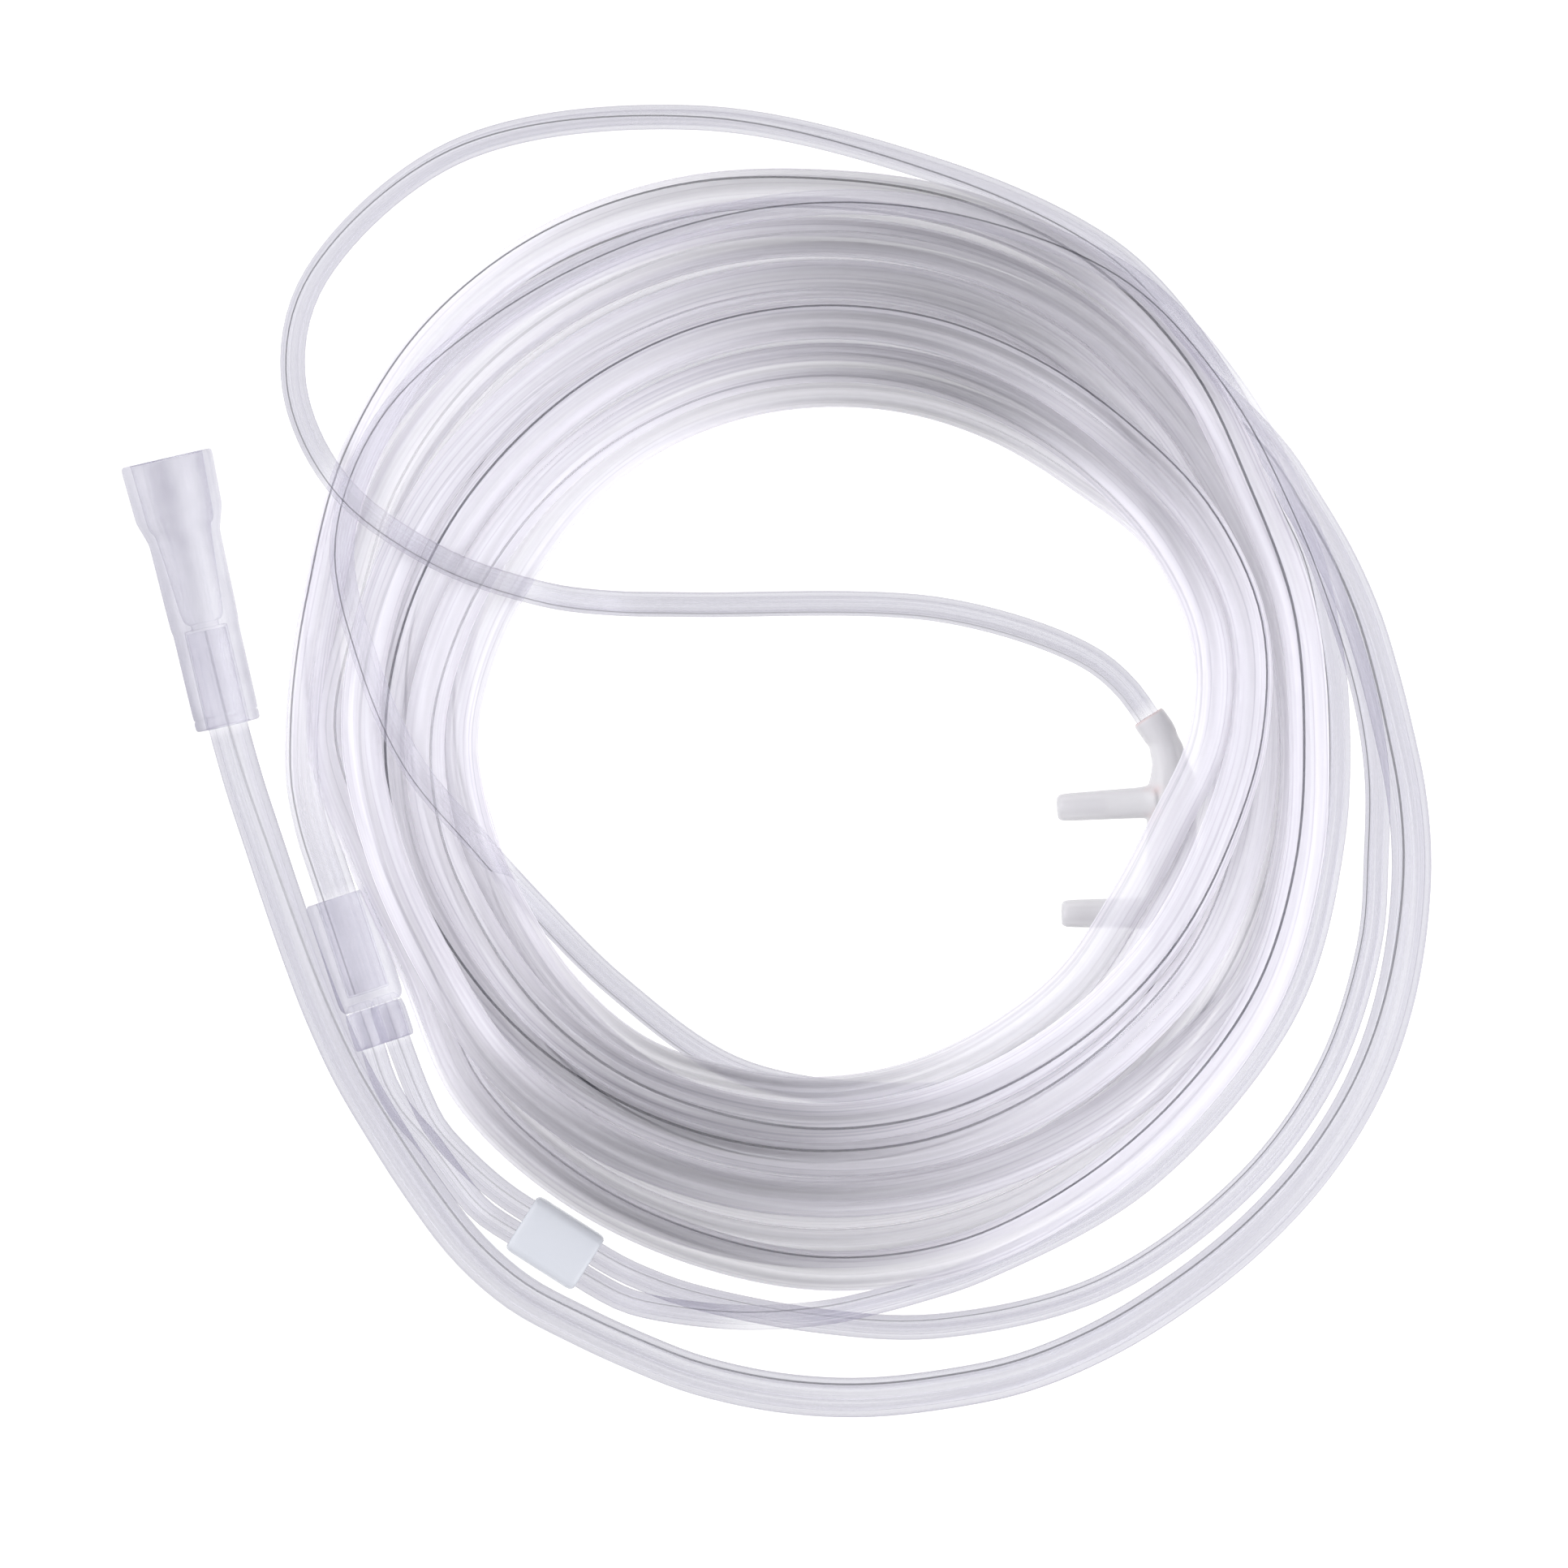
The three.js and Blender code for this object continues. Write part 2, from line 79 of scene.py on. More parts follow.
def smooth_route(points, step=1.0):
    """Centripetal Catmull-Rom curve: between points 1 and 2 of each four, with knots t at the square root of
    the gaps, C(t) is three nested straight-line mixes (Barry and Goldman). The result is evenly spaced."""
    p = np.asarray(points, float)
    p = np.vstack([2 * p[0] - p[1], p, 2 * p[-1] - p[-2]])
    p0, p1, p2, p3 = p[:-3], p[1:-2], p[2:-1], p[3:]
    knot = lambda a, b: np.sqrt(np.linalg.norm(b - a, axis=1))
    t1 = knot(p0, p1)
    t2 = t1 + knot(p1, p2)
    t3 = t2 + knot(p2, p3)
    u = np.linspace(0, 1, SAMPLES, endpoint=False)[None, :, None]
    t1, t2, t3 = (t[:, None, None] for t in (t1, t2, t3))
    t = t1 + u * (t2 - t1)
    p0, p1, p2, p3 = (q[:, None, :] for q in (p0, p1, p2, p3))
    a1 = (t1 - t) / t1 * p0 + t / t1 * p1
    a2 = (t2 - t) / (t2 - t1) * p1 + (t - t1) / (t2 - t1) * p2
    a3 = (t3 - t) / (t3 - t2) * p2 + (t - t2) / (t3 - t2) * p3
    b1 = (t2 - t) / t2 * a1 + t / t2 * a2
    b2 = (t3 - t) / (t3 - t1) * a2 + (t - t1) / (t3 - t1) * a3
    c = ((t2 - t) / (t2 - t1) * b1 + (t - t1) / (t2 - t1) * b2).reshape(-1, 3)
    c = np.vstack([c, p[-2]])
    return evenly(c, step)


def evenly(c, step):
    """The same line with points at equal distances along it, about step apart."""
    s = np.concatenate([[0], np.cumsum(np.linalg.norm(np.diff(c, axis=0), axis=1))])
    n = int(round(s[-1] / step)) + 1
    grid = np.linspace(0, s[-1], n)
    return np.stack([np.interp(grid, s, c[:, k]) for k in range(3)], axis=1)


def line_length(c):
    """Sum of the straight steps between the points."""
    return float(np.linalg.norm(np.diff(c, axis=0), axis=1).sum())


# %% Routes, in millimetres
SUPPLY_RUN = [
    (-64.2, 33.8, 5.4), (-62.7, 27, 5.1), (-61.1, 20.1, 4.75), (-59.9, 15.6, 4.4), (-58.7, 11.4, 3.9),
    (-56.1, 3.4, 3.2), (-53.5, -4.5, 2.8), (-50.6, -12.8, 2.8), (-47.6, -20.6, 2.8), (-43.8, -28.8, 2.8),
    (-39, -37, 2.8), (-33.7, -45.2, 2.8), (-27.4, -53.5, 2.8), (-20.2, -59.9, 2.8), (-12.2, -64.3, 2.8),
    (-3.3, -68.4, 2.8), (5.3, -71.7, 2.8), (16.8, -74.2, 2.8), (28.3, -74.9, 2.8), (39.8, -73.8, 2.8),
    (51.3, -71.4, 2.8), (62.8, -66.6, 2.8), (73.4, -60.1, 2.8), (82.7, -52.8, 2.8), (90.6, -44.7, 2.8),
    (96.6, -36.4, 2.8), (101, -27.9, 2.8), (104.1, -18.5, 2.8), (105.9, -8.5, 2.8), (106.5, 1.6, 2.8),
    (105.7, 11, 2.8), (103.9, 19.7, 2.8), (101.9, 27.7, 2.8), (99.4, 35.7, 2.8), (95.8, 43.8, 2.8),
    (91.1, 51.8, 2.8), (86.5, 58.7, 2.8),
]
SUPPLY_TAIL = [
    (-49.4, 27.7, 8.6), (-50, 19.7, 8.6), (-49.9, 12.2, 8.5), (-48.6, 5.4, 7.2), (-46.9, 0, 6.5),
    (-45.29, -4.85, 6.5), (-41.26, -17.1, 6.5),
]
EAR_TUBE_UPPER = [
    (-42.31, -19.87, 6.5), (-40.59, -25.1, 6.5), (-39, -29.9, 6.7), (-36.5, -34.3, 6.6), (-33, -38.3, 6.4),
    (-29.8, -42.7, 5.7), (-27.2, -46.3, 4.4), (-24.7, -48.94, 2.9), (-18.4, -52.95, 2.82), (-8.47, -59.3, 2.82),
    (-4.7, -61.1, 3.6), (0, -62.2, 4.8), (11.7, -63.4, 5.6), (23.4, -62.7, 5.2), (30.1, -61.4, 3.6),
    (36.4, -59.8, 2.2), (45.6, -56.7, 1.9), (68.6, -44, 1.8), (88.7, -20, 1.8), (95.3, 3.6, 1.9),
    (95.9, 23.7, 2.3), (94.2, 35.5, 4.5), (92, 44.2, 7), (88.4, 51.8, 7.9), (80.1, 67.9, 7),
    (69, 83, 3.3), (59.9, 90.1, 2.2), (39.8, 98.9, 1.8), (5.3, 106.6, 1.8), (-29.1, 101.7, 2.1),
    (-48.9, 84, 2.8), (-51.8, 69.5, 7.4), (-44.4, 53.5, 17.8), (-31, 43.8, 14.2), (-17.2, 39, 11.4),
    (-7, 37.7, 4), (4, 37.5, 2.5), (39.8, 36.8, 1.9), (59.4, 30.8, 2.1), (65.5, 26.3, 2.75),
    (70.35, 19.7, 2.75),
]
EAR_TUBE_LOWER = [
    (-38.79, -18.71, 6.5), (-37.07, -23.94, 6.5), (-35.9, -27.2, 6.3), (-34.3, -31.6, 4.2), (-31.8, -36.8, 2.1),
    (-26.9, -42.1, 2.1), (-21.9, -46.3, 2.8), (-16.4, -49.85, 2.82), (-6.82, -55.96, 2.82), (-2.7, -58, 1.95),
    (4.2, -60.5, 1.8), (22.6, -64.1, 1.8), (39.8, -64.8, 1.8), (62.8, -59.2, 1.8), (83, -44.7, 1.8),
    (94.7, -28.6, 1.8), (100.6, -10.6, 1.8), (101.5, 1.6, 2.4), (101.3, 13.9, 6.4), (99.4, 25.4, 6.9),
    (95.3, 38, 9.4), (89.9, 50.7, 13.2), (81.2, 66.8, 13.6), (66.3, 82.9, 13.6), (44.4, 91.8, 13.6),
    (21.4, 93.7, 13.6), (-1.6, 88.6, 13.6), (-23.4, 77.1, 13.6), (-38.6, 62.8, 13.6), (-44.6, 46, 13.6),
    (-41.2, 29.4, 13.6), (-34.7, 14.8, 13.6), (-25.6, 3.9, 12), (-17.4, -5.5, 3.4), (-6.1, -16.7, 1.8),
    (11.1, -28.6, 1.8), (34.1, -32.1, 1.8), (54.2, -29.6, 1.8), (65.5, -23.2, 2.75), (70.35, -16.6, 2.75),
]
ear_upper = smooth_route(EAR_TUBE_UPPER)
ear_lower = smooth_route(EAR_TUBE_LOWER)
print("ear tubes", round(line_length(ear_upper)), "and", round(line_length(ear_lower)), "mm")

# %% [markdown]
# ## The coil
# Nobody lays a coil turn exactly on turn: the hand winds a flat stack from outside to inside and back out, and
# the turns then slip past each other until they rest. That is how it is made here too. The turns start from
# a plan, a lower stack that spirals inwards and an upper one that spirals outwards, each slightly off centre,
# and then they settle: touching turns push each other apart, the weight pulls them down, and the tube's own
# stiffness keeps the line fair.

# %% Coil band
COIL_CENTRE = np.array([23.2, 19.1])
BAND_INNER = np.array([
    51.3, 53.3, 52.6, 49.3, 47.6, 46.7, 46.3, 46.2, 45.9, 45.5, 46.0, 47.4,
    48.7, 48.5, 48.2, 49.0, 49.6, 48.6, 48.4, 47.6, 46.8, 46.9, 46.2, 47.4,
])
BAND_OUTER = np.array([
    70.9, 71.4, 74.9, 78.5, 79.0, 79.5, 79.8, 81.7, 82.9, 82.3, 79.1, 76.2,
    75.5, 69.7, 69.0, 74.7, 75.7, 77.1, 79.0, 79.4, 77.0, 75.6, 74.5, 72.4,
])
PER_TURN = 24
FIRST_STEP = 3  # of PER_TURN: the coil starts at 45 degrees, where the stretch from the connector meets it
COIL_TURNS = 9
EXTRA_STEPS = 9  # past the whole turns, to where the stretch to the Y-connector leaves it
SUPPLY_RADIUS = 2.8
EAR_RADIUS = 1.75
REST_GAP = 0.12
BRIDGE_HEIGHT = 8.4  # of the inner turns' centre line where they bridge the nasal piece
print("coil band", BAND_INNER.min(), "to", BAND_OUTER.max(), "mm from its centre")


def radial(points):
    """Angle, radius and height of points about the coil's centre."""
    p = np.asarray(points, float)
    d = p[:, :2] - COIL_CENTRE
    return np.arctan2(d[:, 1], d[:, 0]), np.hypot(d[:, 0], d[:, 1]), p[:, 2]


def obstacles(lines, radii):
    """Where other tubes cross each of the coil's angles: radius, height and own radius for each angle."""
    rows = []
    for line, radius in zip(lines, radii):
        angle, r, z = radial(line)
        place = (angle / (2 * np.pi) * PER_TURN) % PER_TURN
        near = np.rint(place)
        keep = np.abs(place - near) < 0.1
        rows.append(np.stack([near[keep] % PER_TURN, r[keep], z[keep], np.full(keep.sum(), radius)], axis=1))
    return np.vstack(rows)


def settled_coil(steps=700):
    """Radius and height of every 15 degrees of the coil. Each step adds, for every pair of turns at the same
    angle, half the missing distance along the line between them, then a little weight, a pull to the plan,
    a share of the mean of the two neighbours along the tube, and last the limits of band and floor."""
    n = COIL_TURNS * PER_TURN + EXTRA_STEPS
    index = FIRST_STEP + np.arange(n)
    column = index % PER_TURN
    angle = 2 * np.pi * index / PER_TURN
    turn = (index - FIRST_STEP) / PER_TURN
    lowest = BAND_INNER[column] + SUPPLY_RADIUS
    highest = BAND_OUTER[column] - SUPPLY_RADIUS
    half = n / PER_TURN / 2
    share = np.where(turn < half, 1 - turn / half, (turn - half) / (n / PER_TURN - half))
    sway = 0.13 * np.sin(angle + 2.2) * np.where(turn < half, 1, -1) + 0.07 * np.sin(2 * angle + 5.1 * turn)
    last = np.clip((turn - (n / PER_TURN - 1.15)) / 0.15, 0, 1)
    plan = np.clip(share + sway * np.sin(np.pi * np.clip(turn / (n / PER_TURN), 0, 1)) * (1 - last), 0, 1)
    lower = turn < half
    cap = highest - np.where(last > 0, 0, 5.8 * np.exp(-((((angle % (2 * np.pi)) - 2.1) / 0.75) ** 2)))
    target = lowest + plan * (cap - lowest)
    target = target + last * (highest - target)
    hold = 0.02 + 0.25 * last
    r = target.copy()
    z = 2.85 + 5.7 / (1 + np.exp(-(turn - half) * 6))
    wall = obstacles([ear_upper, ear_lower], [EAR_RADIUS, EAR_RADIUS])
    hits = [(np.nonzero(column == c)[0], rr, zz, rad) for c, rr, zz, rad in wall]
    ramp_in = np.clip(np.arange(n) / 4.0, 0, 1)
    ramp_out = np.clip(np.arange(n)[::-1] / 4.0, 0, 1)
    gap = 2 * SUPPLY_RADIUS + REST_GAP
    for step in range(steps):
        dr, dz = np.zeros(n), np.zeros(n)
        for m in range(1, COIL_TURNS + 1):
            k = m * PER_TURN
            vr, vz = r[k:] - r[:-k], z[k:] - z[:-k]
            d = np.hypot(vr, vz) + 1e-6
            push = np.clip(gap - d, 0, None) / d * 0.42
            dr[k:] += push * vr
            dz[k:] += push * vz
            dr[:-k] -= push * vr
            dz[:-k] -= push * vz
        for rows, rr, zz, rad in hits:
            vr, vz = r[rows] - rr, z[rows] - zz
            d = np.hypot(vr, vz) + 1e-6
            push = np.clip(SUPPLY_RADIUS + rad + 0.25 - d, 0, None) / d * 0.8
            dr[rows] += push * vr
            dz[rows] += push * vz
        late = step / steps
        r = r + dr + hold * (1 - 0.7 * late) * (target - r)
        z = z + dz - 0.06
        r[1:-1] += 0.08 * (r[2:] + r[:-2] - 2 * r[1:-1]) / 2
        z[1:-1] += 0.12 * (z[2:] + z[:-2] - 2 * z[1:-1]) / 2
        r = np.clip(r, lowest, highest)
        local = angle % (2 * np.pi)
        local = np.where(local > np.pi, local - 2 * np.pi, local)
        over_nasal = (local > -0.72) & (local < 0.12) & (r * np.cos(local) < 55.9)
        z = np.maximum(z, np.where(over_nasal, BRIDGE_HEIGHT, SUPPLY_RADIUS + 0.05))
        z = z + (2.8 - z) * (1 - ramp_in) + (8.6 - z) * (1 - ramp_out) * 0.5
    worst = min(
        float(np.hypot(r[m * PER_TURN:] - r[:-m * PER_TURN], z[m * PER_TURN:] - z[:-m * PER_TURN]).min())
        for m in range(1, COIL_TURNS + 1)
    )
    print("coil: closest turns", round(worst, 2), "mm apart, top at", round(float(z.max() + SUPPLY_RADIUS), 2))
    return np.stack([
        COIL_CENTRE[0] + r * np.cos(angle), COIL_CENTRE[1] + r * np.sin(angle), z,
    ], axis=1)


coil = settled_coil()
supply = smooth_route(np.vstack([SUPPLY_RUN, coil, SUPPLY_TAIL]))
print("supply tube", round(line_length(supply)), "mm")

# %% [markdown]
# ## Clear tubes
# The tube is a wall round a lumen, and both surfaces show: the outer skin, and the bore inside it, whose
# darker edges are painted shade. A bevelled curve would give the skin alone. So the profile is carried along the
# route twice,
# outside and inside, and joined at the ends.

# %% Tube surface
def frames_along(line):
    """Side and up vectors across a line: the side stays level wherever the line isn't upright, so no twist
    builds up; up = side x direction."""
    d = np.gradient(line, axis=0)
    d /= np.linalg.norm(d, axis=1, keepdims=True)
    side = np.stack([d[:, 1], -d[:, 0], np.zeros(len(d))], axis=1)
    side /= np.linalg.norm(side, axis=1, keepdims=True)
    return side, np.cross(side, d)


def grid_faces(rows, columns, offset=0, flip=False):
    """Quads of a grid that closes on itself across the columns."""
    i, j = np.meshgrid(np.arange(rows - 1), np.arange(columns), indexing="ij")
    k = (j + 1) % columns
    q = np.stack([i * columns + j, i * columns + k, (i + 1) * columns + k, (i + 1) * columns + j], axis=-1)
    q = q.reshape(-1, 4) + offset
    return q[:, ::-1] if flip else q


def make_object(name, vertices, faces, uv=None, second=None, smooth=True):
    """A mesh object at the origin from arrays; uv has one pair for each face corner, and second is true for
    the faces that take the piece's second material."""
    mesh = bpy.data.meshes.new(name)
    faces = np.asarray(faces)
    mesh.vertices.add(len(vertices))
    mesh.vertices.foreach_set("co", np.asarray(vertices, np.float32).ravel())
    mesh.loops.add(faces.size)
    mesh.loops.foreach_set("vertex_index", faces.astype(np.int32).ravel())
    mesh.polygons.add(len(faces))
    mesh.polygons.foreach_set("loop_start", np.arange(0, faces.size, faces.shape[1], dtype=np.int32))
    mesh.polygons.foreach_set("loop_total", np.full(len(faces), faces.shape[1], dtype=np.int32))
    mesh.polygons.foreach_set("use_smooth", np.full(len(faces), smooth))
    if second is not None:
        mesh.polygons.foreach_set("material_index", np.asarray(second, np.int32))
    mesh.update(calc_edges=True)
    if uv is not None:
        layer = mesh.uv_layers.new(name="UVMap")
        layer.data.foreach_set("uv", np.asarray(uv, np.float32).ravel())
    mesh.validate()
    thing = bpy.data.objects.new(name, mesh)
    scene.collection.objects.link(thing)
    return thing


def tube_surface(line, radius, bore, sides, lobes=0, lobe_depth=0.0):
    """Outer wall: line + radius (cos a side + sin a up). Bore: the same with bore (1 + depth cos(lobes a)).
    UV: metres along the tube, and the share of the way round it."""
    side, up = frames_along(line)
    a = 2 * np.pi * np.arange(sides) / sides
    ring = np.cos(a)[None, :, None] * side[:, None, :] + np.sin(a)[None, :, None] * up[:, None, :]
    inner = bore * (1 + lobe_depth * np.cos(lobes * (a - np.pi / 2)))
    n = len(line)
    outside = line[:, None, :] + radius * ring
    inside = line[:, None, :] + inner[None, :, None] * ring
    vertices = np.vstack([outside.reshape(-1, 3), inside.reshape(-1, 3)]) * MM
    walls = [grid_faces(n, sides), grid_faces(n, sides, n * sides, flip=True)]
    j = np.arange(sides)
    k = (j + 1) % sides
    start = np.stack([j, n * sides + j, n * sides + k, k], axis=1)
    e = (n - 1) * sides
    end = np.stack([e + j, e + k, n * sides + e + k, n * sides + e + j], axis=1)
    faces = np.vstack([*walls, start, end])
    s = np.concatenate([[0], np.cumsum(np.linalg.norm(np.diff(line, axis=0), axis=1))]) * MM
    row = (faces % (n * sides)) // sides
    col = (faces % sides).astype(float)
    wraps = (col.max(axis=1) - col.min(axis=1)) > sides / 2
    col[wraps] = np.where(col[wraps] == 0, sides, col[wraps])
    uv = np.stack([s[row], col / sides], axis=-1)
    in_bore = (faces >= n * sides).all(axis=1)
    return vertices, faces, uv, in_bore


TUBE_STEP = 2.2
TUBE_SIDES = 20
SUPPLY_BORE = 1.75
EAR_BORE = 1.0
LUMEN_LOBES = 5
LOBE_DEPTH = 0.14
supply_line = evenly(supply, TUBE_STEP)
upper_line = evenly(ear_upper, TUBE_STEP)
lower_line = evenly(ear_lower, TUBE_STEP)
supply_tube = make_object("supply_tube", *tube_surface(
    supply_line, SUPPLY_RADIUS, SUPPLY_BORE, TUBE_SIDES, LUMEN_LOBES, LOBE_DEPTH,
))
ear_tube_upper = make_object("ear_tube_upper_clear", *tube_surface(upper_line, EAR_RADIUS, EAR_BORE, TUBE_SIDES))
ear_tube_lower = make_object("ear_tube_lower_clear", *tube_surface(lower_line, EAR_RADIUS, EAR_BORE, TUBE_SIDES))
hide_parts("supply_tube_run", "supply_tube_coil", "supply_tube_tail")
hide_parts("ear_tube_upper")
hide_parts("ear_tube_lower")
for tube in (supply_tube, ear_tube_upper, ear_tube_lower):
    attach(tube, "tubing")
print("supply tube faces", len(supply_tube.data.polygons))

# %% [markdown]
# ## Clear soft plastic
# Soft clear PVC isn't like window glass. Its skin is slightly hazy, so over white it looks a pale violet grey,
# two tubes on each other look darker, and turns that run across a side light shine. Refracting glass would be
# the obvious way, but it turns the white table into hard dark lines, and it is slow. So the tube is made as
# thin hazy skins over each other: each skin hides about a third of what is behind it. It throws no shadow,
# because it passes the light on. Fine lines from the extruder's die run along it, painted as pale highlight
# lines and dark shade lines, and one darker line of painted shade where the lumen's crease bends the light.
# Where the turns lie among each other, the light they pass on is painted in as a paler colour.

# %% Node helpers
def socket(node, name, value):
    node.inputs[name].default_value = value


def maths(tree, operation, first, second=None, third=None):
    """One Math node: operation on numbers or sockets; returns its output."""
    node = tree.nodes.new("ShaderNodeMath")
    node.operation = operation
    for place, value in enumerate((first, second, third)):
        if isinstance(value, (int, float)):
            node.inputs[place].default_value = value
        elif value is not None:
            tree.links.new(value, node.inputs[place])
    return node.outputs[0]


def noise(tree, vector, scale, detail):
    """Fac of a Noise Texture at vector; scale may be a number or a socket."""
    node = tree.nodes.new("ShaderNodeTexNoise")
    socket(node, "Detail", detail)
    if isinstance(scale, float):
        socket(node, "Scale", scale)
    else:
        tree.links.new(scale, node.inputs["Scale"])
    tree.links.new(vector, node.inputs["Vector"])
    return node.outputs["Fac"]


def new_group(name, inputs, outputs):
    """An empty node group with float inputs {name: default} and float outputs."""
    group = bpy.data.node_groups.new(name, "ShaderNodeTree")
    for title, default in inputs.items():
        made = group.interface.new_socket(title, in_out="INPUT", socket_type="NodeSocketFloat")
        made.default_value = default
    for title in outputs:
        group.interface.new_socket(title, in_out="OUTPUT", socket_type="NodeSocketFloat")
    return group, group.nodes.new("NodeGroupInput"), group.nodes.new("NodeGroupOutput")


def use_group(tree, group, **values):
    node = tree.nodes.new("ShaderNodeGroup")
    node.node_tree = group
    for title, value in values.items():
        node.inputs[title].default_value = value
    return node


# %% Group: lines along a tube
FINER, APART = 3.6, 7.0
# These place the dark line of painted shade along the lumen's crease, how it sways and how it fades.
LUMEN_SHADE_AT, LUMEN_SHADE_SWAY, SWAY_WAVES, FADE_WAVES = 0.25, 0.13, 9.0, 5.3


def make_tube_lines():
    """UV is (metres along, share round). On a ring q = (Round cos 2 pi v, Round sin 2 pi v, Along u) the noise
    has no seam and changes slowly along the tube. Streak is broad noise of q less its mean. The peaks of a
    finer one are the die's pale lines, painted highlights, and its hollows the die's dark lines, painted shade.
    The last output is 1 on the line v = 0.25 + 0.13 sin(9 u), coming and going along the tube: a dark line of
    painted shade where the lumen's crease bends the light."""
    group, start, end = new_group(
        "tube_lines", {"Round": 3.0, "Along": 14.0, "Width": 0.014}, ["Streak", "Pale", "Dark", "Crease"],
    )
    link = group.links.new
    uv = group.nodes.new("ShaderNodeUVMap")
    uv.uv_map = "UVMap"
    parts = group.nodes.new("ShaderNodeSeparateXYZ")
    link(uv.outputs["UV"], parts.inputs["Vector"])
    u, v = parts.outputs["X"], parts.outputs["Y"]
    turn = maths(group, "MULTIPLY", v, 2 * math.pi)
    cosine, sine = maths(group, "COSINE", turn), maths(group, "SINE", turn)
    made = {}
    for title, factor, lift in (("Streak", 1.0, 0.0), ("Fine", FINER, APART)):
        ring = group.nodes.new("ShaderNodeCombineXYZ")
        size = maths(group, "MULTIPLY", start.outputs["Round"], factor)
        link(maths(group, "MULTIPLY", cosine, size), ring.inputs["X"])
        link(maths(group, "MULTIPLY", sine, size), ring.inputs["Y"])
        link(maths(group, "MULTIPLY_ADD", u, start.outputs["Along"], lift), ring.inputs["Z"])
        made[title] = noise(group, ring.outputs["Vector"], 1.0, 0.0)
    link(maths(group, "SUBTRACT", made["Streak"], 0.5), end.inputs["Streak"])
    for title, low, high in (("Pale", 0.56, 0.72), ("Dark", 0.43, 0.28)):
        peak = group.nodes.new("ShaderNodeMapRange")
        peak.interpolation_type = "SMOOTHSTEP"
        socket(peak, "From Min", low)
        socket(peak, "From Max", high)
        link(made["Fine"], peak.inputs["Value"])
        link(peak.outputs["Result"], end.inputs[title])
    sway = maths(group, "SINE", maths(group, "MULTIPLY", u, SWAY_WAVES))
    middle = maths(group, "MULTIPLY_ADD", sway, LUMEN_SHADE_SWAY, LUMEN_SHADE_AT)
    far = maths(group, "ABSOLUTE", maths(group, "SUBTRACT", v, middle))
    near = maths(group, "SUBTRACT", 1.0, maths(group, "DIVIDE", far, start.outputs["Width"]))
    near = maths(group, "MINIMUM", maths(group, "MAXIMUM", maths(group, "MULTIPLY", near, 2.5), 0.0), 1.0)
    fade = maths(group, "SINE", maths(group, "MULTIPLY", u, FADE_WAVES))
    fade = maths(group, "MULTIPLY_ADD", fade, 0.5, 0.62)
    link(maths(group, "MULTIPLY", near, maths(group, "MINIMUM", fade, 1.0)), end.inputs["Crease"])
    return group


tube_lines = make_tube_lines()
print("group", tube_lines.name, "has", len(tube_lines.nodes), "nodes")


# %% Skin of a tube
def edge_weight(tree, power):
    """0 where a skin is seen flat on and 1 at its outline, as a power of Layer Weight's Facing."""
    facing = tree.nodes.new("ShaderNodeLayerWeight")
    socket(facing, "Blend", 0.5)
    return maths(tree, "POWER", facing.outputs["Facing"], power)


def attribute(tree, name):
    node = tree.nodes.new("ShaderNodeAttribute")
    node.attribute_name = name
    return node.outputs["Fac"]


def mixed(tree, factor, first, second):
    """Colour first where factor is 0 and second where it is 1; either may be a colour or a socket."""
    mix = tree.nodes.new("ShaderNodeMix")
    mix.data_type = "RGBA"
    tree.links.new(factor, mix.inputs["Factor"])
    for place, value in (("A", first), ("B", second)):
        place = next(i for i in mix.inputs if i.name == place and i.type == "RGBA")
        if isinstance(value, tuple):
            place.default_value = (*value, 1)
        else:
            tree.links.new(value, place)
    return next(o for o in mix.outputs if o.type == "RGBA")


def new_material(name):
    material = bpy.data.materials.new(name)
    material.use_nodes = True
    return material, material.node_tree, material.node_tree.nodes["Principled BSDF"]


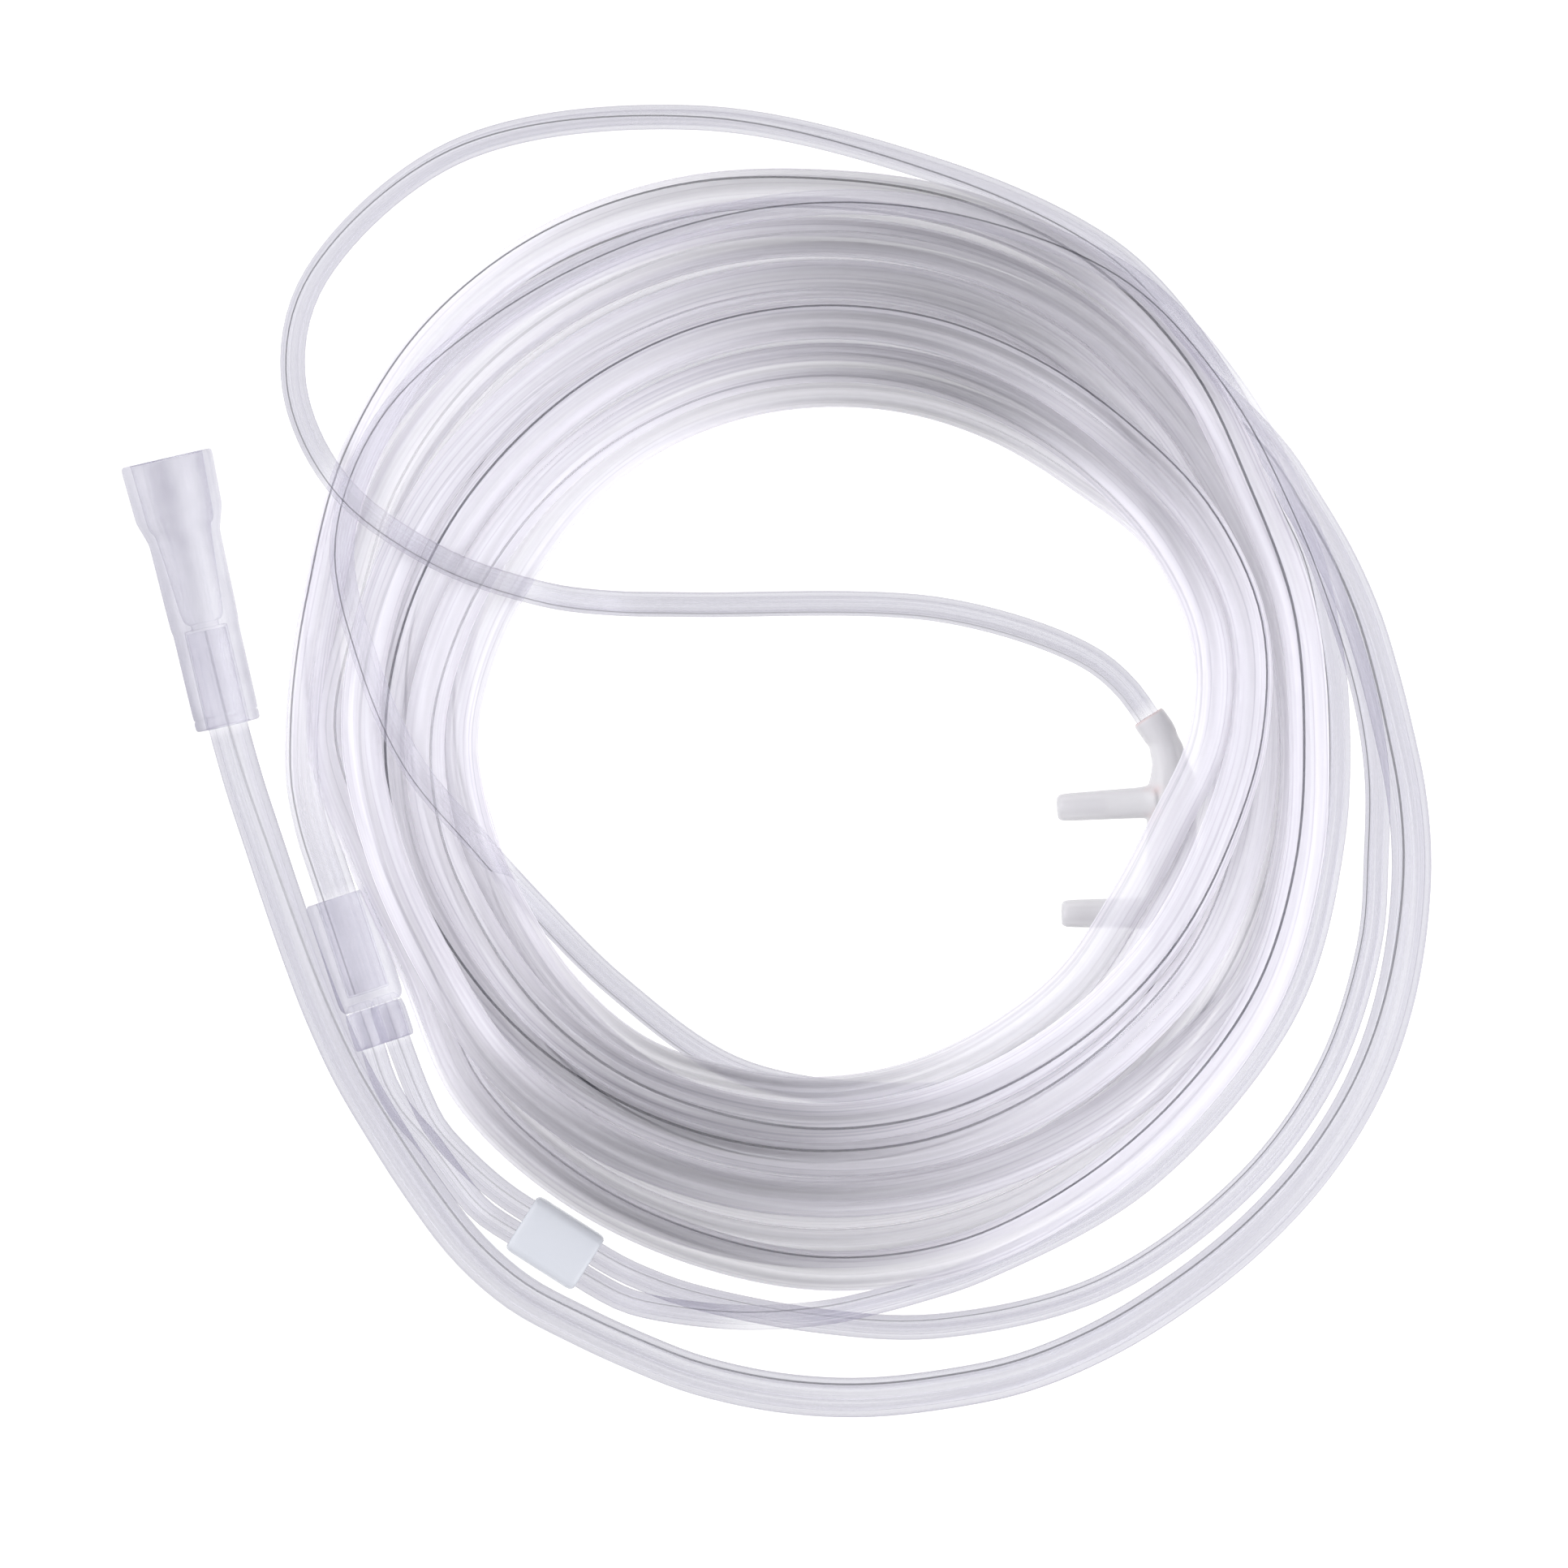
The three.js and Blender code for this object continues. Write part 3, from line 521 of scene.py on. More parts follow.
def tube_skin(name, free, nested, over_alpha, lines_round):
    """Skin of a clear tube; free and nested are (colour, alpha, metallic). Where it lies among other turns
    (attribute nested) light passes from turn to turn. That light is painted, as a paler colour, and the skin
    is also denser and shinier there. Where it only lies over other tubes (attribute over) it hides less of them
    and is painted a little paler too. The die's lines lie along the tube, so its gloss spreads across it:
    Anisotropic 0.9, turned a quarter from the tangent that follows the tube."""
    material, tree, shader = new_material(name)
    link = tree.links.new
    lines = use_group(tree, tube_lines, Round=lines_round, Along=14.0)
    nested_light_share, over = attribute(tree, "nested"), attribute(tree, "over")
    among = maths(tree, "MAXIMUM", nested_light_share, maths(tree, "MULTIPLY", over, 0.35))
    # Painted light: among the coil's turns, and a little over other tubes, the colour is painted paler.
    colour = mixed(tree, among, free[0], nested[0])
    # Painted highlight and painted shade: the die's pale lines go towards white, its dark lines towards dark.
    colour = mixed(tree, maths(tree, "MULTIPLY", lines.outputs["Pale"], 0.25), colour, (0.95, 0.95, 0.97))
    colour = mixed(tree, maths(tree, "MULTIPLY", lines.outputs["Dark"], 0.25), colour, (0.14, 0.13, 0.18))
    # A dark line of painted shade where the lumen's crease bends the light.
    lumen_shade = lines.outputs["Crease"]
    link(mixed(tree, lumen_shade, colour, (0.03, 0.03, 0.045)), shader.inputs["Base Color"])
    shining = maths(tree, "MULTIPLY_ADD", among, nested[2] - free[2], free[2])
    swing = maths(tree, "MULTIPLY_ADD", lines.outputs["Streak"], 0.9, 1.0)
    link(maths(tree, "MULTIPLY", shining, swing), shader.inputs["Metallic"])
    alpha = maths(tree, "MULTIPLY_ADD", nested_light_share, nested[1] - free[1], free[1])
    alpha = maths(tree, "MULTIPLY_ADD", over, over_alpha - free[1], alpha)
    alpha = maths(tree, "MULTIPLY", alpha, swing)
    alpha = maths(tree, "MAXIMUM", alpha, maths(tree, "MULTIPLY", lumen_shade, 0.7))
    link(maths(tree, "MULTIPLY_ADD", edge_weight(tree, 6.0), 0.35, alpha), shader.inputs["Alpha"])
    socket(shader, "Roughness", 0.5)
    socket(shader, "Anisotropic", 0.9)
    socket(shader, "Anisotropic Rotation", 0.25)
    tangent = tree.nodes.new("ShaderNodeTangent")
    tangent.direction_type = "UV_MAP"
    tangent.uv_map = "UVMap"
    link(tangent.outputs["Tangent"], shader.inputs["Tangent"])
    return material


def tube_bore(name, edge, lines_round):
    """Wall of the lumen: nearly nothing, with pale die lines and soft dark edges; where the tube lies over
    others its lines are fainter. The pale lines are painted highlights, and the dark colour that shows at the
    bore's outline is painted shade."""
    material, tree, shader = new_material(name)
    link = tree.links.new
    lines = use_group(tree, tube_lines, Round=lines_round, Along=9.0)
    link(mixed(tree, lines.outputs["Pale"], (0.13, 0.125, 0.17), (0.75, 0.75, 0.8)), shader.inputs["Base Color"])
    socket(shader, "Roughness", 0.4)
    hazy = maths(tree, "MULTIPLY_ADD", lines.outputs["Pale"], 0.12, 0.02)
    hazy = maths(tree, "MULTIPLY_ADD", edge_weight(tree, 4.0), edge, hazy)
    fainter = maths(tree, "MULTIPLY_ADD", attribute(tree, "over"), -0.6, 1.0)
    link(maths(tree, "MULTIPLY", hazy, fainter), shader.inputs["Alpha"])
    return material


FREE_TUBE = ((0.225, 0.214, 0.285), 0.32, 0.25)
# The nested colour is painted light: paler for the light that the coil's turns pass on to each other.
NESTED_TUBE_LIT = ((0.715, 0.697, 0.748), 0.46, 0.87)
clear_skin = tube_skin("clear_tube", FREE_TUBE, NESTED_TUBE_LIT, over_alpha=0.2, lines_round=2.0)
clear_bore = tube_bore("clear_tube_bore", edge=0.3, lines_round=1.6)
for tube in (supply_tube, ear_tube_upper, ear_tube_lower):
    tube.data.materials.append(clear_skin)
    tube.data.materials.append(clear_bore)
    tube.visible_shadow = False
print("materials", clear_skin.name, "and", clear_bore.name)

# %% [markdown]
# ## Where a tube lies among the others
# The skin has to know two things of each place: whether the tube lies nested among the coil's turns, which
# pass light on to each other, and whether it lies over other tubes, which then show through it. The light that
# the turns pass on is painted: nested places are painted paler, and places over other tubes a little paler too.
# Both could be painted by hand, but they follow from the routes. So they are measured there and kept as mesh
# attributes.

# %% Marks along the tubes
EASE_IN, EASE_OUT = 50, 60
SUPPLY_SOCKET = 14.0
FORK_SOCKET, NASAL_SOCKET = 5.6, 3.3


def mark(tube, name, share):
    """A float attribute with one value for each ring of a tube's two walls."""
    layer = tube.data.attributes.new(name, "FLOAT", "POINT")
    layer.data.foreach_set("value", np.tile(np.repeat(share, TUBE_SIDES), 2).astype(np.float32))


def eased(x):
    """0 below 0, 1 above 1, and x squared times (3 - 2 x) between."""
    x = np.clip(x, 0, 1)
    return x * x * (3 - 2 * x)


def along(line):
    """Distance along a line at each of its points."""
    return np.concatenate([[0], np.cumsum(np.linalg.norm(np.diff(line, axis=0), axis=1))])


def lies_over(line, others, reach=2.6, lift=2.0):
    """1 for points with a point of another line within reach beside them and lower, else 0, smoothed."""
    found = np.zeros(len(line))
    for other in others:
        flat = np.linalg.norm(line[:, None, :2] - other[None, :, :2], axis=2)
        lower = other[None, :, 2] < line[:, None, 2] - lift
        found = np.maximum(found, ((flat < reach) & lower).any(axis=1))
    soft = np.hanning(7)
    return np.convolve(np.pad(found, 3, mode="edge"), soft / soft.sum(), mode="valid")


s = along(supply_line)
coil_from = line_length(smooth_route(SUPPLY_RUN))
coil_to = s[-1] - line_length(smooth_route(SUPPLY_TAIL))
in_coil = eased((s - coil_from) / EASE_IN + 0.5) * eased((coil_to - s) / EASE_OUT + 0.8)
coil_line = supply_line[(s > coil_from) & (s < coil_to)]
mark(supply_tube, "nested", in_coil)
above = np.where(s > coil_to, lies_over(supply_line, [coil_line[::2]]), 0) * (1 - in_coil)
in_socket = (s < SUPPLY_SOCKET) | (s > s[-1] - SUPPLY_SOCKET)
mark(supply_tube, "over", np.maximum(above, in_socket))
for tube, line, other in ((ear_tube_upper, upper_line, lower_line), (ear_tube_lower, lower_line, upper_line)):
    mark(tube, "nested", np.zeros(len(line)))
    above = np.maximum(lies_over(line, [supply_line[::2]]), lies_over(line, [other[::2]], 1.8, 1.0))
    in_socket = (along(line) < FORK_SOCKET) | (along(line)[::-1] < NASAL_SOCKET)
    mark(tube, "over", np.maximum(above, in_socket))
print("the coil takes", round(coil_to - coil_from), "mm of the supply tube")

# %% [markdown]
# ## Moulded pieces
# The connector, the Y-piece and the slide are injection moulded, so they have rounded edges, tapered walls and
# sockets for the tubes. Each is a row of cross-sections laid along its own axis: outside walls one way, and
# back through the bore, so the wall is a real closed one.

# %% Sections along an axis
def axes_of(start, end):
    """Side, up and forward vectors of a piece whose axis runs from start to end, side kept level."""
    forward = np.asarray(end, float) - np.asarray(start, float)
    forward /= np.linalg.norm(forward)
    side = np.cross([0, 0, 1.0], forward)
    side /= np.linalg.norm(side)
    return side, np.cross(forward, side), forward


def rounded(points, passes=2):
    """Corners of an open profile cut off again and again (Chaikin): each edge keeps its middle three fifths."""
    q = np.asarray(points, float)
    for _ in range(passes):
        cut = np.stack([0.8 * q[:-1] + 0.2 * q[1:], 0.2 * q[:-1] + 0.8 * q[1:]], axis=1).reshape(-1, q.shape[1])
        q = np.vstack([q[:1], cut[1:-1], q[-1:]])
    return q


def box_section(width, height, corner, sides):
    """Rounded rectangle: x = (w/2 - c) clip(3 cos a) + c cos a, y the same with height and sin a."""
    a = 2 * np.pi * (np.arange(sides) + 0.5) / sides
    x = (width / 2 - corner) * np.clip(3 * np.cos(a), -1, 1) + corner * np.cos(a)
    y = (height / 2 - corner) * np.clip(3 * np.sin(a), -1, 1) + corner * np.sin(a)
    return np.stack([x, y], axis=1)


def laid_sections(sections, places, start, end):
    """Each section's x goes to the side vector, its y to up, and its place along the axis to forward."""
    side, up, forward = axes_of(start, end)
    sections = np.asarray(sections)
    points = sections[..., :1] * side + sections[..., 1:] * up + np.asarray(places)[:, None, None] * forward
    return np.asarray(start) + points


def shell(name, rings, closed=True, inner=()):
    """Mesh from rings of points; closed joins the last ring to the first, else both ends meet in a pole. UV is
    (metres along the profile, share round); the rings numbered in inner take the second material."""
    n, sides = rings.shape[:2]
    vertices = rings.reshape(-1, 3)
    faces = grid_faces(n, sides)
    if closed:
        j = np.arange(sides)
        k = (j + 1) % sides
        e = (n - 1) * sides
        faces = np.vstack([faces, np.stack([e + j, e + k, k, j], axis=1)])
    row, column = faces // sides, (faces % sides).astype(float)
    column = np.where((column == 0) & ((column.max(axis=1) == sides - 1)[:, None]), sides, column)
    middles = rings.mean(axis=1)
    gone = np.concatenate([[0], np.cumsum(np.linalg.norm(np.diff(middles, axis=0), axis=1))]) * MM
    uv = np.stack([gone[row], column / sides], axis=-1)
    thing = make_object(name, vertices * MM, faces, uv, np.isin(row, inner).all(axis=1))
    if not closed:
        bm = bmesh.new()
        bm.from_mesh(thing.data)
        bmesh.ops.remove_doubles(bm, verts=bm.verts, dist=1e-6)
        bmesh.ops.dissolve_degenerate(bm, edges=bm.edges, dist=1e-7)
        bm.to_mesh(thing.data)
        bm.free()
    return thing


def faces_outward(thing):
    """Normals worked out again, and turned round where the closed mesh's volume comes out negative."""
    bm = bmesh.new()
    bm.from_mesh(thing.data)
    bmesh.ops.recalc_face_normals(bm, faces=bm.faces)
    if bm.calc_volume(signed=True) < 0:
        bmesh.ops.reverse_faces(bm, faces=bm.faces)
    bm.to_mesh(thing.data)
    bm.free()
    thing.data.polygons.foreach_set("use_smooth", np.full(len(thing.data.polygons), True))
    print(thing.name, len(thing.data.polygons), "faces")
    return thing


# %% [markdown]
# ## Supply connector
# The end that is pushed over the oxygen outlet: a cup with a slight taper, a short cone, and a long neck that
# holds the supply tube. It could be built of cones and cylinders, but the rims and steps would need bevels.
# A turned profile has them all in one closed wall, so it is drawn as pairs of radius and distance.

# %% Supply connector
SECTION_SIDES = 72
CONNECTOR_MOUTH = (-69.8, 58.15, 6.76)
CONNECTOR_TAIL = (-61.1, 20.3, 4.75)
outside = rounded([
    (5.35, 0.0), (6.25, 0.0), (6.6, 0.35), (6.42, 4.0), (6.25, 7.9), (6.05, 8.7), (5.2, 11.3), (5.12, 12.2),
    (4.95, 22.0), (4.85, 24.4), (4.72, 24.6), (4.7, 30.0), (4.66, 37.1), (4.5, 37.2), (4.5, 37.4), (4.65, 37.5),
    (4.62, 38.5), (4.4, 38.8), (3.3, 38.8),
])
inside = rounded([
    (3.12, 38.6), (3.1, 25.0), (3.1, 24.7), (2.9, 24.6), (2.0, 24.6), (2.0, 24.5), (2.0, 23.9), (2.4, 23.8),
    (3.0, 23.0), (3.5, 16.0), (4.0, 10.5), (4.5, 9.9), (4.75, 9.3), (4.95, 5.0), (5.2, 0.2),
])
profile = np.vstack([outside, inside])
turn = 2 * np.pi * np.arange(SECTION_SIDES) / SECTION_SIDES
circle = np.stack([np.cos(turn), np.sin(turn)], axis=1)
connector = faces_outward(shell("supply_connector_moulded", laid_sections(
    profile[:, :1, None] * circle[None], profile[:, 1], CONNECTOR_MOUTH, CONNECTOR_TAIL,
), inner=range(len(outside), len(profile))))
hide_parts("supply_connector")
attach(connector, "tubing")

# %% [markdown]
# ## Y-connector
# A rounded block takes the supply tube at one end, and two thin sleeves at its other end hold the ear tubes.
# It isn't round, so it can't be turned. Its outside is a row of rounded rectangles with a bead at the rim, and
# its bore a row of circles. The sleeves are turned pieces that start where the block ends, because clear walls
# inside each other would look too dark.

# %% Y-connector
Y_TOP = np.array([-45.6, -3.9, 6.5])
Y_END = Y_TOP + 21.7 * np.array([0.312, -0.95, 0])
Y_BORE_RADII = [0.01, 1.4, 2.9, 3.1, 3.1, 3.12, 3.3]
Y_BORE_PLACES = [14.2, 14.2, 14.15, 13.9, 4.0, 0.5, 0.0]
FORK_OFFSETS = (-1.85, 1.85)
outer_plan = [
    (0.0, 8.7, 6.8, 2.8), (0.12, 9.1, 7.2, 3.0), (0.4, 9.4, 7.5, 3.1), (0.8, 9.5, 7.6, 3.2), (1.5, 9.5, 7.6, 3.2),
    (1.7, 9.34, 7.44, 3.1), (1.95, 9.34, 7.44, 3.1), (2.15, 9.46, 7.56, 3.2), (7.0, 9.44, 7.5, 3.2),
    (13.2, 9.4, 7.3, 3.2), (14.8, 9.3, 7.1, 3.2), (15.4, 9.1, 6.7, 3.0), (15.75, 8.8, 6.0, 2.8),
    (16.0, 8.4, 5.2, 2.4),
]
box_sides = [box_section(w, h, c, SECTION_SIDES) for _, w, h, c in outer_plan]
closing = [box_sides[-1] * 0.93, box_sides[-1] * 0.5, box_sides[-1] * 0.002]
sections = [r * circle for r in Y_BORE_RADII] + box_sides + closing
places = Y_BORE_PLACES + [z for z, *_ in outer_plan] + [16.15, 16.2, 16.2]
y_body = shell(
    "y_connector_moulded", laid_sections(sections, places, Y_TOP, Y_END),
    closed=False, inner=range(len(Y_BORE_RADII)),
)
sleeve_outside = rounded([(2.45, 17.2), (2.5, 18.0), (2.5, 21.2), (2.35, 21.65), (2.08, 21.7)])
sleeve = np.vstack([
    sleeve_outside,
    rounded([(2.0, 21.5), (2.0, 18.4), (2.0, 16.6), (1.3, 16.4), (1.0, 16.2), (1.0, 15.2), (1.6, 15.2), (2.3, 16.4)]),
])
parts = [y_body]
for number, x in enumerate(FORK_OFFSETS):
    ring = sleeve[:, :1, None] * circle[None] + np.array([x, 0.0])
    parts.append(faces_outward(shell(
        "fork_sleeve_%d" % number, laid_sections(ring, sleeve[:, 1], Y_TOP, Y_END),
        inner=range(len(sleeve_outside), len(sleeve)),
    )))


def joined_as_one(parts):
    """The parts' meshes put together in the first one's object."""
    bm = bmesh.new()
    for part in parts:
        bm.from_mesh(part.data)
    bm.to_mesh(parts[0].data)
    bm.free()
    for part in parts[1:]:
        bpy.data.objects.remove(part)
    return parts[0]


faces_outward(y_body)
y_piece = joined_as_one(parts)
y_piece.data.polygons.foreach_set("use_smooth", np.full(len(y_piece.data.polygons), True))
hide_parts("y_connector")
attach(y_piece, "tubing")

# %% [markdown]
# ## Slide
# A milky sleeve with a flat oval bore, pushed along both ear tubes to tighten them under the chin. A cube with
# a bevel would need its bore cut out. A row of rounded rectangles, drawn in at both ends and led back through
# the bore, gives both. It rides a body of its own, because it moves.

# %% Slide
SLIDE_CENTRE = np.array([-14.9, -53.0, 2.82])
SLIDE_DIRECTION = np.array([0.843, -0.538, 0])
along_slide = [-5.64, -5.6, -5.4, -5.0, -4.4, 4.4, 5.0, 5.4, 5.6, 5.64]
pull_in = [0.75, 0.5, 0.2, 0.05, 0.0, 0.0, 0.05, 0.2, 0.5, 0.75]
slide_sections = [box_section(9.0 - 2 * d, 5.6 - 1.4 * d, 1.9 - 0.6 * d, SECTION_SIDES) for d in pull_in]
bore_sections = [box_section(7.8 + f, 4.1 + f, 2.04, SECTION_SIDES) for f in (0.35, 0.0, 0.0, 0.35)]
slide_piece = faces_outward(shell("slide_moulded", laid_sections(
    slide_sections + bore_sections, along_slide + [5.6, 5.2, -5.2, -5.6],
    SLIDE_CENTRE, SLIDE_CENTRE + SLIDE_DIRECTION,
)))
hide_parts("slide")
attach(slide_piece, "slide")

# %% [markdown]
# ## Nasal piece
# The nasal piece is dip moulded in soft plastic, so nothing on it has an edge: sleeves, body and prongs flow
# into each other. They are made as plain closed shapes first, a bar that swells along its spine and two turned
# prongs with a blind lumen, then remeshed as one skin and smoothed, which leaves a fillet at each root.

# %% Nasal piece
NASAL_SPINE = [
    (69.1, 21.7), (71.3, 18.2), (72.5, 13.3), (72.5, 8), (72.5, 1.6), (72.5, -5), (72.5, -10.2), (71.3, -15.1),
    (69.1, -18.6),
]
NASAL_LEVEL = 2.75
PRONGS = [((56.2, 8.7), (71.2, 9.6)), ((56.8, -6.3), (71.2, -6.2))]  # tip and root of each
SPINE_STEP = 0.4
SKIN_VOXEL = 0.17
FILLET_PASSES = 6
spine = smooth_route([(x, y, NASAL_LEVEL) for x, y in NASAL_SPINE], SPINE_STEP)
run_length = along(spine)
from_end = np.minimum(run_length, run_length[-1] - run_length)
swell = eased((from_end - 6.0) / 5.5)
half_wide, half_high = 2.4 + swell * 1.1, 2.4 + swell * 0.2
half_wide = half_wide - 0.2 * np.exp(-(((from_end - 4.2) / 0.8) ** 2))
side, up = frames_along(spine)
ends = 0.25 * np.exp(-from_end / 0.15)
outer_rings = spine[:, None] + (half_wide - ends)[:, None, None] * circle[None, :, :1] * side[:, None]
outer_rings = outer_rings + (half_high - ends)[:, None, None] * circle[None, :, 1:] * up[:, None]
inner_radius = np.where(from_end < 3.3, 2.0, 1.3)
inner_rings = spine[:, None] + inner_radius[:, None, None] * (
    circle[None, :, :1] * side[:, None] + circle[None, :, 1:] * up[:, None]
)
nasal = faces_outward(shell("nasal_piece_soft", np.vstack([outer_rings, inner_rings[::-1]])))
outline = rounded([
    (0.0, 7.0), (1.1, 6.9), (1.1, 6.0), (1.0, 0.7), (1.0, 0.1), (1.25, 0.0), (1.72, 0.25), (1.95, 1.0),
    (2.1, 8.0), (2.2, 12.2), (2.5, 13.4), (2.7, 14.0), (2.0, 14.4), (0.0, 14.5),
])
outline[:, 0] = np.maximum(outline[:, 0], 1e-5)
ring = outline[:, :1, None] * circle[None]
prongs = [
    faces_outward(shell(
        "prong_%d" % number, laid_sections(ring, outline[:, 1], (*tip, NASAL_LEVEL), (*root, NASAL_LEVEL)),
        closed=False,
    ))
    for number, (tip, root) in enumerate(PRONGS)
]
joined_as_one([nasal, *prongs])
remesh = nasal.modifiers.new("one_skin", "REMESH")
remesh.mode = "VOXEL"
remesh.voxel_size = SKIN_VOXEL * MM
smooth = nasal.modifiers.new("soft_fillets", "SMOOTH")
smooth.factor = 0.5
smooth.iterations = FILLET_PASSES
evaluated = nasal.evaluated_get(bpy.context.evaluated_depsgraph_get())
soft_mesh = bpy.data.meshes.new_from_object(evaluated)
nasal.modifiers.clear()
nasal.data = soft_mesh
soft_mesh.polygons.foreach_set("use_smooth", np.full(len(soft_mesh.polygons), True))
print("nasal piece faces", len(soft_mesh.polygons))
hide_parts("nasal_piece")
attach(nasal, "tubing")

# %% [markdown]
# ## Finishes of the moulded pieces
# Moulded plastic is never quite even: the melt leaves faint clouds and the skin a faint orange peel. One group
# gives both, and each finish takes them at its own strength. The clear pieces are hazy skins like the tubes;
# the slide is milky right through, and the nasal piece frosted and a little see-through.

# %% Group: moulded skin
def make_moulded_skin():
    """Cloud is slow noise of the place less its mean; Peel is fine noise for the height of a bump."""
    group, start, end = new_group("moulded_skin", {"Cloud Scale": 160.0, "Peel Scale": 1500.0}, ["Cloud", "Peel"])
    link = group.links.new
    place = group.nodes.new("ShaderNodeTexCoord").outputs["Object"]
    for title in ("Cloud", "Peel"):
        spots = noise(group, place, start.outputs[title + " Scale"], 2.0)
        link(maths(group, "SUBTRACT", spots, 0.5), end.inputs[title])
    return group


moulded_skin = make_moulded_skin()
print("group", moulded_skin.name, "has", len(moulded_skin.nodes), "nodes")


# %% Moulded finishes
PEEL_STRENGTH, PEEL_DEPTH = 0.1, 0.0002


def orange_peel(tree, skin, shader):
    """A faint bump of the skin group's Peel on the shader's normal."""
    bump = tree.nodes.new("ShaderNodeBump")
    socket(bump, "Strength", PEEL_STRENGTH)
    socket(bump, "Distance", PEEL_DEPTH)
    tree.links.new(skin.outputs["Peel"], bump.inputs["Height"])
    tree.links.new(bump.outputs["Normal"], shader.inputs["Normal"])


def moulded(name, colour, dark, alpha, roughness, edge):
    """Base colour mixed towards dark in the clouds; alpha = alpha + cloud + edge weight, and edge is (power,
    share): above 0 the outline is denser, as in a see-through piece, and below 0 it is thinner."""
    material, tree, shader = new_material(name)
    link = tree.links.new
    skin = use_group(tree, moulded_skin)
    share = maths(tree, "MULTIPLY_ADD", skin.outputs["Cloud"], 1.2, 0.3)
    link(mixed(tree, share, colour, dark), shader.inputs["Base Color"])
    link(maths(tree, "MULTIPLY_ADD", skin.outputs["Cloud"], 0.25, roughness), shader.inputs["Roughness"])
    hazy = maths(tree, "MULTIPLY_ADD", skin.outputs["Cloud"], 0.15, alpha)
    hazy = maths(tree, "MULTIPLY_ADD", edge_weight(tree, edge[0]), edge[1], hazy)
    link(hazy, shader.inputs["Alpha"])
    orange_peel(tree, skin, shader)
    return material


def clear_wall(name, pale, dark, alpha, edge):
    """A clear moulded wall: long pale and dark streaks along the piece, from the tube_lines group, where the
    real wall bends the light, and denser where the wall is seen edge on."""
    material, tree, shader = new_material(name)
    link = tree.links.new
    lines = use_group(tree, tube_lines, Round=1.2, Along=14.0)
    skin = use_group(tree, moulded_skin)
    share = maths(tree, "MULTIPLY_ADD", lines.outputs["Streak"], 2.6, 0.5)
    share = maths(tree, "MULTIPLY_ADD", skin.outputs["Cloud"], 0.8, share)
    share = maths(tree, "MINIMUM", maths(tree, "MAXIMUM", share, 0.0), 1.0)
    link(mixed(tree, share, dark, pale), shader.inputs["Base Color"])
    hazy = maths(tree, "MULTIPLY_ADD", share, -0.5 * alpha, 1.25 * alpha)
    hazy = maths(tree, "MULTIPLY_ADD", lines.outputs["Pale"], 0.05, hazy)
    link(maths(tree, "MULTIPLY_ADD", edge_weight(tree, edge[0]), edge[1], hazy), shader.inputs["Alpha"])
    link(maths(tree, "MULTIPLY_ADD", skin.outputs["Cloud"], 0.2, 0.22), shader.inputs["Roughness"])
    orange_peel(tree, skin, shader)
    return material


OUTER_WALL = ((0.34, 0.33, 0.40), (0.10, 0.09, 0.16), 0.36, (4.0, 0.3))
INNER_WALL = ((0.5, 0.5, 0.56), (0.10, 0.09, 0.15), 0.05, (3.0, 0.45))
for piece in (connector, y_piece):
    piece.data.materials.append(clear_wall("clear_moulding_" + piece.name[0], *OUTER_WALL))
    piece.data.materials.append(clear_wall("clear_bore_" + piece.name[0], *INNER_WALL))
# The slide's outline is made thinner so the white table shows through: painted light, a paler rim where its edges
# would fall into shade.
milky = moulded("milky_sleeve", (0.50, 0.515, 0.545), (0.44, 0.455, 0.49), 0.93, 0.4, edge=(2.0, -0.55))
slide_piece.data.materials.append(milky)
frosted = moulded("frosted_soft", (0.55, 0.543, 0.56), (0.49, 0.475, 0.49), 0.66, 0.35, edge=(2.0, 0.3))
INWARD = 8  # points along the spine from a mouth that give its direction


def blush(thing, material):
    """The soft piece is painted faintly pink and darker at its folds and round its mouths: attribute blush =
    the largest of exp(-(distance / size)^2) from the folds at the upper prong's root, and a thin line round
    each mouth."""
    points = np.empty(len(thing.data.vertices) * 3, np.float32)
    thing.data.vertices.foreach_get("co", points)
    points = points.reshape(-1, 3) / MM
    share = np.zeros(len(points))
    for fold in ([68.9, 11.9, 4.6], [70.2, 11.2, 4.9], [69.2, 7.1, 4.6], [70.4, 8.0, 5.0]):
        share = np.maximum(share, np.exp(-np.sum((points - fold) ** 2, axis=1) / 0.75 ** 2))
    for mouth, inward in ((spine[0], spine[INWARD]), (spine[-1], spine[-1 - INWARD])):
        axis = (inward - mouth) / np.linalg.norm(inward - mouth)
        depth = (points - mouth) @ axis
        near = np.linalg.norm(points - mouth, axis=1) < 3.2
        share = np.maximum(share, near * np.exp(-(((depth - 0.1) / 0.22) ** 2)))
    layer = thing.data.attributes.new("blush", "FLOAT", "POINT")
    layer.data.foreach_set("value", share.astype(np.float32))
    tree = material.node_tree
    shader = tree.nodes["Principled BSDF"]
    before = shader.inputs["Base Color"].links[0].from_socket
    tint = mixed(tree, maths(tree, "MULTIPLY", attribute(tree, "blush"), 0.55), before, (0.50, 0.33, 0.31))
    tree.links.new(tint, shader.inputs["Base Color"])


blush(nasal, frosted)
nasal.data.materials.append(frosted)
for piece in (connector, y_piece, slide_piece, nasal):
    piece.visible_shadow = False
    print(piece.name, "has", [m.name for m in piece.data.materials])

# %% [markdown]
# ## Cords
# The three tubes are flexible, and a mesh alone doesn't say so.

# %% Cords
# %% [markdown]
# ## Table and light
# The set lies on a plain white table. A lit table would have shadows and an uneven tone, so this one glows
# white by itself, a hair under the tubes. The light could come from lamps, but hazy skins shine most evenly in
# a plain gradient of the world: two broad soft panels at the left and the right, so turns that run across
# their light shine, and turns that point at them stay dark.

